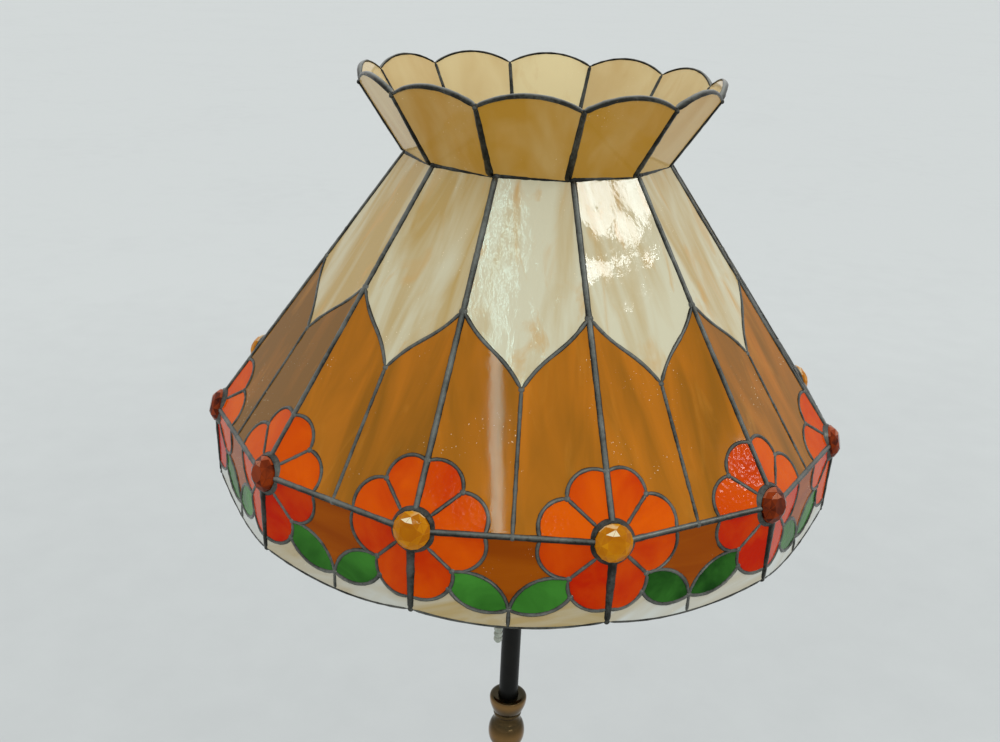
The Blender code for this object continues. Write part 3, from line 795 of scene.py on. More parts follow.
def hammered_glass(name, dark, pale, gloss=0.05):
    """Glass of one colour with a dimpled face, deeper in tone where the sheet is thick."""
    glass = Finish(name, specular_ior_level=gloss, ior=1.5)
    grain = glass.grain()
    cloud = glass.noise(grain, 2.2, 4.0, 0.55, 0.5)
    share = glass.sum(glass.level(cloud, -0.35, 0.35), glass.value("tone"))
    body = glass.blend(share, dark, pale)
    glass.set("Base Color", stained(glass, grain, body, HAMMERED_STAIN))
    glass.set("Roughness", glass.level(glass.noise(grain, 20.0), 0.06, 0.12))
    dimples = glass.cells(grain, 34.0)
    swell = glass.noise(grain, 9.0, 2.0)
    glass.bump(glass.sum(dimples, swell), 0.2, 0.0005)
    return glass.material


def jewel_glass(name, dark, pale, painted_glint):
    """Cut coloured glass: each facet has its own depth of colour, and the brightest facets get a painted
    reflection of the window.
    """
    glass = Finish(name, specular_ior_level=0.07, ior=1.55)
    place = glass.place()
    glow = glass.level(glass.noise(place, 90.0, 3.0, 0.5, 0.6), -0.2, 0.2)
    share = glass.sum(glass.value("tone"), glow)
    body = glass.blend(share, dark, pale)
    # A painted reflection of the window on the facets with the highest tone
    glass.set("Base Color", glass.mix(glass.span(share, 1.1, 1.4, 0.0, painted_glint), body, PAINTED_GLINT_COLOUR))
    glass.set("Roughness", glass.level(glass.noise(place, 240.0), 0.03, 0.08))
    glass.bump(glass.noise(place, 140.0, 2.0), 0.06, 0.0004)
    return glass.material


def patina_and_sheen_metal(name, dark, pale, rough=(0.26, 0.42), mottled=1.0, bump=0.2):
    """Metal with a dark patina, paler where its shine is high: worn patina with painted highlights and
    painted shade.
    """
    surface = Finish(name, metallic=0.85)
    place = surface.place()
    cloud = surface.noise(place, 45.0, 5.0, 0.6, 0.3)
    marks = surface.noise(place, 420.0, 4.0, 0.7)
    uneven = surface.sum(surface.level(cloud, -0.14, 0.14), surface.level(marks, -0.08, 0.08))
    uneven = surface.sum(uneven, mottled, "MULTIPLY")
    share = surface.sum(surface.value("shine"), uneven)
    surface.set("Base Color", surface.blend(share, dark, pale))
    surface.set("Roughness", surface.level(marks, *rough))
    surface.bump(surface.sum(cloud, marks), bump, 0.0003)
    return surface.material


def metal(name, dark, pale, rough, scale, bump, stretch=(1.0, 1.0, 1.0)):
    """Metal with clouded tone, fine marks and uneven gloss."""
    surface = Finish(name, metallic=1.0)
    place = surface.stretch(surface.place(), stretch)
    cloud = surface.noise(place, scale, 6.0, 0.6, 0.3)
    marks = surface.noise(place, scale * 7.0, 4.0, 0.7)
    share = surface.sum(surface.span(cloud, 0.32, 0.68), surface.span(marks, 0.35, 0.7, -0.5, 0.5))
    surface.set("Base Color", surface.blend(share, dark, pale))
    surface.set("Roughness", surface.level(marks, *rough))
    surface.bump(surface.sum(cloud, marks), bump, 0.0004)
    return surface.material


def coating(name, dark, pale, rough, scale, bump, **settings):
    """Paint, plastic, rubber or glaze: a slightly uneven colour and gloss over a fine texture."""
    surface = Finish(name, **settings)
    place = surface.place()
    cloud = surface.noise(place, scale, 5.0)
    fine = surface.noise(place, scale * 12.0, 3.0, 0.6)
    surface.set("Base Color", surface.mix(surface.span(cloud, 0.35, 0.65), dark, pale))
    surface.set("Roughness", surface.level(fine, *rough))
    surface.bump(surface.sum(fine, cloud), bump, 0.0004)
    return surface.material


def felt_cloth(name, dark, pale):
    """Pressed wool: tangled fibres and a soft sheen."""
    cloth = Finish(name, sheen_weight=0.6, roughness=0.95)
    place = cloth.place()
    fibres = cloth.noise(place, 900.0, 6.0, 0.75, 2.0)
    clumps = cloth.noise(place, 90.0, 4.0)
    share = cloth.sum(cloth.level(fibres, 0.0, 1.0), cloth.level(clumps, -0.3, 0.3))
    cloth.set("Base Color", cloth.blend(share, dark, pale))
    cloth.bump(fibres, 0.8, 0.0006)
    return cloth.material


CREAM_GLASS = streaky_glass(
    "cream_glass",
    dark=(0.47, 0.32, 0.11),
    pale=(0.62, 0.58, 0.41),
    wisp=(0.56, 0.33, 0.10),
    spread=0.55,
    wisps=0.8,
    texture=0.26,
    rough=0.07,
)
AMBER_GLASS = streaky_glass(
    "amber_glass",
    dark=(0.195, 0.080, 0.0),
    pale=(0.55, 0.170, 0.005),
    wisp=(0.52, 0.21, 0.02),
    spread=0.3,
    wisps=0.35,
    texture=0.02,
    gloss=0.13,
    rough=0.04,
)
SHIELD_GLASS = streaky_glass(
    "shield_glass",
    dark=(0.25, 0.045, 0.0),
    pale=(0.35, 0.080, 0.001),
    wisp=(0.37, 0.10, 0.001),
    wisps=0.3,
    texture=0.03,
    gloss=0.05,
)
BORDER_GLASS = streaky_glass(
    "border_glass", dark=(0.42, 0.31, 0.135), pale=(0.58, 0.60, 0.56), wisp=(0.52, 0.48, 0.36), wisps=0.4
)
CROWN_GLASS = streaky_glass(
    "crown_glass_sheet",
    dark=(0.48, 0.25, 0.034),
    pale=(0.80, 0.67, 0.37),
    wisp=(0.58, 0.33, 0.09),
    streaks=(2.4, 1.2, 2.0),
    spread=0.16,
    wisps=0.3,
    gloss=0.15,
)
PETAL_GLASS = hammered_glass("petal_glass", (0.48, 0.012, 0.0), (0.69, 0.100, 0.0))
LEAF_GLASS = hammered_glass("leaf_glass", (0.003, 0.042, 0.001), (0.058, 0.26, 0.030), gloss=0.06)
AMBER_JEWEL = jewel_glass("amber_jewel", (0.39, 0.115, 0.0), (0.62, 0.25, 0.002), painted_glint=0.85)
RUBY_JEWEL = jewel_glass("ruby_jewel", (0.030, 0.002, 0.0), (0.33, 0.042, 0.002), painted_glint=0.10)
LEAD = patina_and_sheen_metal("solder", (0.015, 0.015, 0.012), (0.35, 0.36, 0.325))
BRASS = patina_and_sheen_metal(
    "aged_brass", (0.026, 0.020, 0.007), (0.25, 0.135, 0.045), rough=(0.08, 0.2), mottled=0.5, bump=0.03
)
BRIGHT_BRASS = metal(
    "socket_brass", (0.42, 0.28, 0.10), (0.66, 0.47, 0.20), (0.2, 0.34), 120.0, 0.06, (1.0, 1.0, 0.3)
)
STEEL = metal("plated_steel", (0.34, 0.34, 0.33), (0.58, 0.58, 0.56), (0.22, 0.4), 120.0, 0.08)
IRON = metal("cast_iron", (0.03, 0.03, 0.03), (0.09, 0.085, 0.08), (0.6, 0.85), 160.0, 0.8)
BLACK = coating(
    "black_paint",
    dark=(0.003, 0.003, 0.0025),
    pale=(0.006, 0.006, 0.005),
    rough=(0.26, 0.42),
    scale=40.0,
    bump=0.12,
    specular_ior_level=0.14,
)
RUBBER = coating("rubber", (0.012, 0.012, 0.012), (0.022, 0.022, 0.021), (0.55, 0.75), 200.0, 0.2)
PORCELAIN = coating(
    "porcelain", (0.76, 0.73, 0.67), (0.84, 0.82, 0.77), (0.12, 0.25), 60.0, 0.05, coat_weight=0.4
)
OPAL = coating(
    "opal_bulb", (0.86, 0.85, 0.81), (0.92, 0.91, 0.88), (0.2, 0.32), 25.0, 0.04, subsurface_weight=0.15
)
FOB = coating("fob", (0.26, 0.29, 0.24), (0.40, 0.43, 0.37), (0.3, 0.5), 260.0, 0.15)
FELT = felt_cloth("green_felt", (0.012, 0.045, 0.022), (0.035, 0.105, 0.052))


# ---------------------------------------------------------------- the shade's glass


def both_hands(outline, pitch):
    """The plates of a left-hand pane and of its right-hand twin."""
    return {"left": Plate(outline, pitch), "right": Plate(mirrored(outline), pitch)}


def add_pane(name, plate, place, material, slot, node, tone, ripple, turn=0.0):
    """Cuts a pane from its sheet of glass and puts it on the shade."""
    add_piece(name, plate.pane(name, place, tone, ripple, turn), material, "shade", slot, node)


def make_panes():
    """Every pane of the cone, the skirt and the crown."""
    amber = both_hands(AMBER, LARGE_PITCH)
    leaf = both_hands(LEAF, SMALL_PITCH)
    border = both_hands(BORDER, LARGE_PITCH)
    petals = {part: both_hands(outline, SMALL_PITCH) for part, outline in PETALS.items()}
    cream = Plate(CREAM, MIDDLE_PITCH)
    shield = Plate(SHIELD, LARGE_PITCH)
    crown = Plate(CROWN, MIDDLE_PITCH)

    for k in range(SIDES):
        label = f"{k + 1:02d}"
        cone = cone_frame(k)
        skirt = skirt_frame(k)
        cone_node = "cone_panel_" + label
        skirt_node = "skirt_panel_" + label

        name = "cream_pane_" + label
        waves = WAVY if k == 0 else CREAM_RIPPLE
        add_pane(name, cream, cone, CREAM_GLASS, "cream_glass", cone_node, CREAM_TONES[k], waves)
        name = "shield_" + label
        settings = (SHIELD_TONE, SKIRT_RIPPLE, SHIELD_TURN)
        add_pane(name, shield, skirt, SHIELD_GLASS, "amber_glass", skirt_node, *settings)
        name = "crown_pane_" + label
        settings = (CROWN_TONES[k], CROWN_RIPPLE)
        add_pane(name, crown, crown_frame(k), CROWN_GLASS, "caramel_glass", "crown_glass", *settings)

        for hand in ("left", "right"):
            dice = random.Random(label + hand)
            name = f"amber_pane_{label}_{hand}"
            settings = (AMBER_TONES[k] + dice.uniform(-AMBER_SPREAD, AMBER_SPREAD), AMBER_RIPPLE)
            add_pane(name, amber[hand], cone, AMBER_GLASS, "amber_glass", cone_node, *settings)
            name = f"border_{label}_{hand}"
            settings = (BORDER_TONES[k], SKIRT_RIPPLE, BORDER_TURN)
            add_pane(name, border[hand], skirt, BORDER_GLASS, "skirt_glass", skirt_node, *settings)
            name = f"leaf_{label}_{hand}"
            settings = (LEAF_TONES[k] + dice.uniform(-LEAF_SPREAD, LEAF_SPREAD), SMALL_RIPPLE)
            add_pane(name, leaf[hand], skirt, LEAF_GLASS, "leaf_glass", skirt_node, *settings)
            for part, tone in PETAL_TONES.items():
                upper = part in ("side_upper", "top")
                place, node = (cone, cone_node) if upper else (skirt, skirt_node)
                name = f"petal_{label}_{hand}_{part}"
                settings = (tone + dice.uniform(-PETAL_SPREAD, PETAL_SPREAD), SMALL_RIPPLE)
                add_pane(name, petals[part][hand], place, PETAL_GLASS, "petal_glass", node, *settings)


def jewel_place(k):
    """The frame of the jewel on seam k: its base's middle, facing out and a little up."""
    out = seam_way(k) * math.cos(JEWEL_TILT) + Vector((0, 0, math.sin(JEWEL_TILT)))
    return facing(corner(k, *BELT_RING) + out * JEWEL_STANDOFF, out)


def make_jewels():
    """Cut glass jewels: a table, eight star points, sixteen girdle points, and a flat back."""
    for k in range(SIDES):
        shape = bmesh.new()
        place = jewel_place(k)
        for radius, height, count, turn in JEWEL_LEVELS:
            for i in range(count):
                angle = math.tau * (i + turn) / count
                spot = Vector((radius * math.cos(angle), radius * math.sin(angle), height))
                shape.verts.new(place @ spot)
        bmesh.ops.convex_hull(shape, input=shape.verts)
        flat = math.radians(1)
        bmesh.ops.dissolve_limit(shape, angle_limit=flat, verts=shape.verts, edges=shape.edges)
        bmesh.ops.bevel(shape, geom=shape.edges, offset=JEWEL_BEVEL, segments=1, affect="EDGES")
        name = f"cut_jewel_{k + 1:02d}"
        mesh = bpy.data.meshes.new(name)
        shape.to_mesh(mesh)
        shape.free()
        dice = random.Random(k)
        # Painted light: facets that face up along the shade are paler, and the largest facets that face the
        # window get a painted reflection
        upper_edge = place.to_3x3() @ Vector((0, 1, 0))
        tones = []
        for face in mesh.polygons:
            upper = face.normal.dot(upper_edge) > EDGE_FACING
            tones.append(EDGE_TONE if upper else dice.uniform(*FACET_TONES))
        towards = place.to_3x3() @ PAINTED_GLINT_FACING
        large = [face for face in mesh.polygons if face.area > LARGE_FACET]
        large.sort(key=lambda face: face.normal.dot(towards))
        for face in large[-PAINTED_GLINT_COUNT:]:
            tones[face.index] = PAINTED_GLINT_TONE
        mesh.attributes.new("tone", "FLOAT", "FACE").data.foreach_set("value", tones)
        amber = (k + 1) // 2 % 2 == 0
        material = AMBER_JEWEL if amber else RUBY_JEWEL
        slot = "amber_jewel" if amber else "ruby_jewel"
        add_piece(name, mesh, material, "shade", slot, f"jewel_{k + 1:02d}")


# ---------------------------------------------------------------- the shade's lead


def laid(place, outline):
    """Flat points of a side, placed in the model."""
    return [place @ Vector((point[0], point[1], 0)) for point in outline]


def face_of(place):
    """The direction that a side faces."""
    return (place.to_3x3() @ Vector((0, 0, 1))).normalized()


def make_side_lead():
    """The thin lines within each side, between its panes."""
    spoke = [polar(SPOKE_START, PETAL_SPLIT), SPLIT_POINT]
    low_spoke = [polar(SPOKE_START, LOW_SPLIT), LOW_SPLIT_POINT]
    low_lines = (low_spoke, LOWER_PETAL, BOTTOM_PETAL, LEAF_TOP, LEAF_UNDER)
    halves = {
        "cone": [(CREAM_EDGE, EDGE_LEAD)] + [(line, FINE_LEAD) for line in (spoke, UPPER_PETAL, TOP_PETAL)],
        "skirt": [(line, FINE_LEAD) for line in low_lines],
    }
    middles = {"cone": ([TIP_POINT, BELT_MIDDLE], EDGE_LEAD), "skirt": ([LEAF_POINT, RIM_POINT], FINE_LEAD)}
    joints = {"cone": [SPLIT_POINT], "skirt": [LOW_SPLIT_POINT, BOTTOM_PETAL[LEAF_FOOT]]}
    points = {"cone": [TIP_POINT], "skirt": [LEAF_POINT]}
    for k in range(SIDES):
        shape = Shape()
        for part, place in (("cone", cone_frame(k)), ("skirt", skirt_frame(k))):
            out = face_of(place)
            lines = [(line, width) for line, width in halves[part]]
            lines += [(mirrored(line), width) for line, width in halves[part]]
            lines.append(middles[part])
            for line, width in lines:
                path = spaced(laid(place, line), LEAD_STEP)
                shape.run(path, out, width, **FINE_LINE)
            spots = joints[part] + mirrored(joints[part]) + points[part]
            for at in laid(place, spots):
                shape.joint("fine", at, out, FINE_LEAD)
        add_piece(f"side_lead_{k + 1:02d}", shape.mesh("side_lead"), LEAD, "shade", "lead", "lead_frame")


def tapered(half_width, start, change, path):
    """A half width for each point of a path, which changes evenly along it."""
    return [half_width * (start + change * i / len(path)) for i in range(len(path))]


def make_main_lead():
    """The heavy lines along the seams, belt, neck, crown and rim."""
    names = ("seam_lead", "belt_lead", "neck_lead", "crown_lead", "rim_lead")
    seam, belt, neck, crown, rim = (Shape() for _ in names)
    for k in range(SIDES):
        outwards = seam_way(k)
        foot = corner(k, *RIM_RING)
        hip = corner(k, *BELT_RING)
        waist = corner(k, *NECK_RING)
        crown_foot = corner(k + CROWN_TURN, *NECK_RING)
        top = corner(k + CROWN_TURN, *CROWN_RING)
        cone_out = (outwards * NECK_RISE + Vector((0, 0, BELT_RADIUS - NECK_RADIUS))).normalized()
        crown_out = seam_way(k + CROWN_TURN) * (CROWN_RISE - NECK_RISE)
        crown_out = (crown_out - Vector((0, 0, CROWN_RADIUS - NECK_RADIUS))).normalized()

        line = spaced([foot, hip], LEAD_STEP)
        seam.run(line, outwards, tapered(SEAM_LEAD, *SKIRT_TAPER, line), **SKIRT_LINE)
        seam.run(spaced([hip, waist], LEAD_STEP), cone_out, SEAM_LEAD, **CONE_LINE)
        line = spaced([crown_foot, top], LEAD_STEP)
        crown.run(line, crown_out, tapered(CROWN_LEAD, *CROWN_TAPER, line), **CROWN_LINE)
        seam.joint("shoulder", hip.lerp(waist, SHOULDER / CONE_SLANT), cone_out, SEAM_LEAD)
        seam.joint("petal", hip.lerp(waist, PETAL_JOINT), cone_out, SEAM_LEAD)
        neck.joint("neck", waist, outwards, NECK_LEAD, NECK_LINE["shine"])
        brim_joint = top - Vector((0, 0, BRIM_JOINT_DROP))
        crown.joint("brim", brim_joint, crown_out, CROWN_LEAD, CROWN_LINE["shine"])
        rim.joint("foot", foot, outwards, SEAM_LEAD, RIM_LINE["shine"])

        cone_face = face_of(cone_frame(k))
        belt_out = (cone_face + face_of(skirt_frame(k))).normalized()
        belt.run(spaced([hip, corner(k + 1, *BELT_RING)], LEAD_STEP), belt_out, BELT_LEAD, **BELT_LINE)
        belt.joint("belt", middle(k, *BELT_RING), belt_out, BELT_LEAD)
        neck_out = (cone_face + face_of(crown_frame(k))).normalized()
        line = spaced([waist, corner(k + 1, *NECK_RING)], LEAD_STEP)
        neck.run(line, neck_out, NECK_LEAD, **NECK_LINE)
        place = crown_frame(k)
        line = laid(place, [(u, v - BRIM_DROP) for u, v in CROWN_TOP])
        crown.run(line, face_of(place), BRIM_LEAD, **BRIM_LINE)
        place = skirt_frame(k)
        line = laid(place, [(u, v + RIM_LIFT) for u, v in RIM_EDGE])
        rim.run(line, face_of(place), RIM_LEAD, **RIM_LINE)
    for name, shape in zip(names, (seam, belt, neck, crown, rim)):
        add_piece(name, shape.mesh(name), LEAD, "shade", "lead", "lead_frame")


def on_glass(place, k, across, up, rise):
    """The point a little above the glass, straight under a spot in the frame of the jewel on seam k."""
    spot = place @ Vector((across, up, 0))
    axis = face_of(place)
    drops = []
    for side in (cone_frame(k - 1), cone_frame(k), skirt_frame(k - 1), skirt_frame(k)):
        drops.append((side.translation - spot).dot(face_of(side)) / axis.dot(face_of(side)))
    return spot + axis * (min(drops) + rise)


def make_jewel_rings():
    """The bead of solder round each jewel, which lies on the glass."""
    noise.seed_set(RING_SEED)
    turns = [math.tau * i / RING_SIDES for i in range(RING_SIDES)]
    for k in range(SIDES):
        shape = Shape()
        place = jewel_place(k)
        rings = []
        for radius, rise, share, shine in RING_LEVELS:
            points = []
            for a in turns:
                across = radius * math.cos(a)
                up = radius * math.sin(a)
                seat = on_glass(place, k, across, up, rise)
                point = seat.lerp(place @ Vector((across, up, RING_TOP)), share)
                points.append(point + noise.noise_vector(point * RING_LUMP_SCALE) * RING_LUMPS)
            rings.append(shape.ring(points, [shine] * RING_SIDES))
        for low, high in zip(rings, rings[1:]):
            shape.bridge(low, high)
        shape.bridge(rings[-1], rings[0])
        add_piece(f"jewel_ring_{k + 1:02d}", shape.mesh("jewel_ring"), LEAD, "shade", "lead", "lead_frame")


# ---------------------------------------------------------------- the stand, lampholder and chain


def middle_of(node):
    """A CAD node's centre line, at its lowest point, and its height."""
    low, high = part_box(node)
    return Vector(((low.x + high.x) / 2, (low.y + high.y) / 2, low.z)), high.z - low.z


def add_turned(name, outline, material, body, slot, nodes, sides=72, place=Matrix(), sharp=math.radians(32)):
    """A turned piece from (radius, height) points, with a painted highlight on its bulges and painted shade
    where it looks up.
    """
    shape = Shape()
    shape.turned(outline, sides, place)
    widest = max(radius for radius, _ in outline)
    shape.shine = []
    for i, (radius, height) in enumerate(outline):
        before = outline[i - 1]
        after = outline[(i + 1) % len(outline)]
        slope = math.hypot(after[0] - before[0], after[1] - before[1])
        # Painted shade on the faces that look up, and a painted highlight round the bulges, over worn patina
        looks_up = max((before[0] - after[0]) / max(slope, 1e-9), 0.0)
        bulge = max((radius / widest - HIGHLIGHT_FROM) / (1 - HIGHLIGHT_FROM), 0.0) ** 5
        wear_and_highlight = (OVERALL_BRIGHTNESS + BULGE_HIGHLIGHT * bulge) * (1 - looks_up)
        shape.shine.extend([wear_and_highlight] * (sides if radius > 0 else 1))
    return add_piece(name, shape.mesh(name, sharp), material, body, slot, *nodes)


def break_half():
    """The upper half of a turned break, from its middle: vase, waist, bead, bun and the tube's seat."""
    vase = oval(0.0100, 0.0, 0.0074, 0.0145, 0, 65, 14)
    waist = curved([vase[-1], (0.0120, 0.0160), (0.0115, 0.0185), (0.0119, 0.0196)], 4)[1:]
    bead = oval(0.0119, 0.0222, 0.0016, 0.0022, -80, 80, 10)
    bowl = [(0.0122, 0.0246), (0.0134, 0.0253), (0.0144, 0.0262), (0.0163, 0.0313), (0.0173, 0.0350)]
    shoulder = [(0.0176, BUN_RISE - 0.0008), (0.0175, 0.0402), (0.0166, 0.0418), (0.0146, 0.0426)]
    bun = curved(bowl + shoulder + [(0.0118, 0.0427)], 4)
    seat = [(0.0098, 0.0425), (TUBE_RADIUS + FIT, 0.0420), (TUBE_RADIUS + FIT, 0.0120)]
    return vase + waist + bead + bun + seat


def make_column():
    """Turned brass breaks and collar, and the painted tubes between them."""
    upper = break_half()
    lower = [(radius, -height) for radius, height in upper[1:]]
    whole = upper + [(PIPE_CLEAR, 0.0120), (PIPE_CLEAR, -0.0120)] + lower[::-1]
    for name, node in (("upper_brass_break", "upper_break"), ("lower_brass_break", "lower_break")):
        low, height = middle_of(node)
        add_turned(name, whole, BRASS, "stand", "brass", [node], place=raised(low.z + height / 2))
    low, _ = middle_of("base_collar")
    foot = [(PIPE_CLEAR, 0.0), (0.0338, 0.0), (0.0340, 0.0003), (0.0340, 0.0026), (0.0334, 0.0034)]
    foot += [(0.0318, 0.0040)]
    foot += oval(0.0315, 0.0185, 0.0170, 0.0138, 268, 188, 14)
    foot += oval(0.0140, 0.0205, 0.0028, 0.0024, -70, 80, 8) + [(0.0122, 0.0252)]
    top = [(radius, height + COLLAR_RISE) for radius, height in upper]
    vase = [(radius, COLLAR_RISE - height) for radius, height in upper[1:12]][::-1]
    collar = foot + vase + top + [(PIPE_CLEAR, COLLAR_RISE + 0.0120)]
    add_turned("brass_collar", collar, BRASS, "stand", "brass", ["base_collar"], place=raised(low.z))
    bevel = 0.0003
    for name in ("lower_tube", "middle_tube", "upper_tube"):
        low, height = middle_of(name)
        outline = [
            (TUBE_RADIUS - bevel, 0),
            (TUBE_RADIUS, bevel),
            (TUBE_RADIUS, height - bevel),
            (TUBE_RADIUS - bevel, height),
            (TUBE_RADIUS - TUBE_WALL, height),
            (TUBE_RADIUS - TUBE_WALL, 0),
        ]
        place = Matrix.Translation(low)
        add_turned("painted_" + name, outline, BLACK, "stand", "black_paint", [name], 64, place)


def make_base():
    """The spun cover, felt and bushing."""
    low, top = middle_of("base_shell")
    wall = 0.0014
    line = [(PIPE_CLEAR, top), (0.0375, top), (0.0392, top - 0.0002), (0.0420, top - 0.0012)]
    dish = [(0.0450, top - 0.0028), (0.0520, top - 0.0042), (0.0660, top - 0.0060), (0.0765, top - 0.0078)]
    line += curved(dish, 6)
    line += [(0.0800, top - 0.0093), (0.0820, top - 0.0110)]
    line += oval(0.112, 0.0177, 0.0278, 0.0098, 78, 0, 22) + [(0.1398, 0.0012), (0.1394, 0.0)]
    inside = [(max(radius - wall, PIPE_CLEAR), height - wall) for radius, height in line[:-2]]
    cover = line + [(0.1380, 0.0)] + inside[::-1]
    add_turned("spun_cover", cover, BLACK, "stand", "black_paint", ["base_shell"], 128, raised(low.z))

    low, height = middle_of("felt_pad")
    disc = [(0, 0), (0.1352, 0), (0.1359, 0.0004), (0.1360, 0.0010)]
    disc += [(0.1357, height - 0.0002), (0.1350, height), (0, height)]
    add_turned("felt_disc", disc, FELT, "stand", "felt", ["felt_pad"], 128, raised(low.z))

    low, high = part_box("cord_bushing")
    depth = high.y - low.y
    at = Matrix.Translation(((low.x + high.x) / 2, low.y, (low.z + high.z) / 2))
    axis = at @ Matrix.Rotation(-math.pi / 2, 4, "X")
    flange = depth - 0.0020
    sleeve = [(0.0045, 0), (0.0045, flange), (0.0066, flange), (0.0070, flange + 0.0004)]
    sleeve += [(0.0070, flange + 0.0012), (0.0064, depth), (0.0040, depth), (0.0033, depth - 0.0006)]
    sleeve += [(0.0032, depth - 0.0014), (0.0032, 0)]
    add_turned("rubber_bushing", sleeve, RUBBER, "stand", "rubber", ["cord_bushing"], 32, axis)


def make_cap():
    """The lampholder's cap."""
    low, height = middle_of("socket_cap")
    cap = [(PIPE_CLEAR, 0), (0.0092, 0), (0.0095, 0.0004), (0.0098, 0.0030)]
    dome = [(0.0104, 0.0042), (0.0135, 0.0064), (0.0160, 0.0092), (0.0172, 0.0125)]
    cap += curved(dome, 6)
    cap += [(0.0175, 0.0140), (0.0175, height - 0.0006), (0.0171, height), (0.0164, height)]
    cap += [(0.0163, 0.0136), (0.0140, 0.0092), (PIPE_CLEAR, 0.0046)]
    add_turned("brass_cap", cap, BRIGHT_BRASS, "stand", "brass", ["socket_cap"], 64, raised(low.z))


def make_shell():
    """The lampholder's ribbed shell, with the guide that the pull chain comes out of."""
    low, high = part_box("socket_liner")
    bottom = low.z - 0.004
    tall = high.z - low.z + 0.008
    radius = 0.0170
    shell = [(radius, 0.0)]
    for i in range(4):
        rib = i * 0.0042
        shell += [(radius, 0.018 + rib), (radius + 0.0004, 0.0190 + rib), (radius, 0.0200 + rib)]
    shell += [(radius, tall - 0.003), (radius + 0.0005, tall - 0.0005), (radius + 0.0004, tall)]
    shell += [(radius - 0.0008, tall), (radius - 0.0009, 0.0)]
    holder = Shape()
    holder.turned(shell, 64, raised(bottom))

    chain, _ = middle_of("pull_chain")
    guide_z = bottom + 0.012
    guide = [(0.0016, -0.0010), (0.0034, -0.0010), (0.0036, -0.0006), (0.0031, 0.0035), (0.0030, 0.0100)]
    guide += [(0.0027, 0.0116), (0.0018, 0.0125), (0.0016, 0.0105)]
    holder.turned(guide, 24, Matrix.Translation((chain.x, chain.y, guide_z)))

    from_axis = 0.0022
    inward = Vector((-chain.x, -chain.y, 0)).normalized()
    start = Vector((chain.x, chain.y, guide_z + 0.006)) + inward * from_axis
    reach = math.hypot(chain.x, chain.y) - from_axis - radius + 0.0006
    neck = [(0, 0), (0.0025, 0), (0.0023, 0.001), (0.0023, reach - 0.002), (0.0030, reach), (0, reach)]
    holder.turned(neck, 20, facing(start, inward))
    add_piece("socket_with_guide", holder.mesh("socket"), BRIGHT_BRASS, "stand", "brass", "socket_shell")


def make_bulb():
    """The bulb's threaded cap and its globe."""
    low, height = middle_of("bulb")
    thread = [(0, 0), (0.0055, 0), (0.0060, 0.0006), (0.0070, 0.0022), (0.0120, 0.0048)]
    for i in range(7):
        turn = i * 0.0030
        thread += [(0.0124, 0.0056 + turn), (0.0128, 0.0068 + turn), (0.0124, 0.0080 + turn)]
    thread += [(0.0127, 0.0280), (0.0126, 0.0300), (0, 0.0300)]
    add_turned("bulb_cap", thread, STEEL, "bulb", "steel", [], 48, raised(low.z))
    neck = curved([(0.0126, 0.0302), (0.0134, 0.0345), (0.0160, 0.0430), (0.0208, 0.0560)], 6)
    globe = oval(0.0, 0.0790, 0.0300, 0.0300, -42, 90, 40)
    glass = [(0, 0.0302)] + neck + globe[:-1] + [(0, height)]
    sharp = math.radians(60)
    add_turned("bulb_globe", glass, OPAL, "bulb", "opal_glass", ["bulb"], 72, raised(low.z), sharp)


def make_harp():
    """The sprung wire, its ferrules, and the seat and stud on top."""
    low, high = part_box("harp")
    foot = low.z
    stud = 0.0150
    thread = 0.0008
    seat = high.z - stud - foot
    top = seat - 0.0040
    half = [(0.0215, 0.001), (0.0215, 0.020), (0.0380, 0.048), (0.0540, 0.090), (0.0575, 0.130)]
    half += [(0.0460, 0.178), (0.0220, top - 0.008), (0.0, top)]
    route = half + [(-across, rise) for across, rise in half[-2::-1]]
    line = smoothed([(across, 0.0, foot + rise) for across, rise in route], 10)
    shape = Shape()
    shape.run(line, Vector((0, 1, 0)), 0.0016, 0.0016, 14, ends=1.0)
    sleeve = [(0, 0), (0.0031, 0), (0.0034, 0.0004), (0.0034, 0.0126), (0.0031, 0.0132), (0.0026, 0.0150)]
    sleeve += [(0, 0.0150)]
    for side in (-1, 1):
        shape.turned(sleeve, 24, Matrix.Translation((side * 0.0215, 0, foot)))
    cup = [(0, -0.0062), (0.0046, -0.0062), (0.0052, -0.0056), (0.0062, -0.0044), (0.0092, -0.0022)]
    cup += [(0.0095, -0.0016), (0.0095, 0)]
    for i in range(round(stud / thread)):
        rise = i * thread
        cup += [(0.0029, rise + 0.0001), (0.0032, rise + 0.0004), (0.0029, rise + 0.0007)]
    cup += [(0.0026, stud), (0, stud)]
    shape.turned(cup, 28, raised(foot + seat))
    add_piece("sprung_harp", shape.mesh("harp"), STEEL, "stand", "steel", "harp")


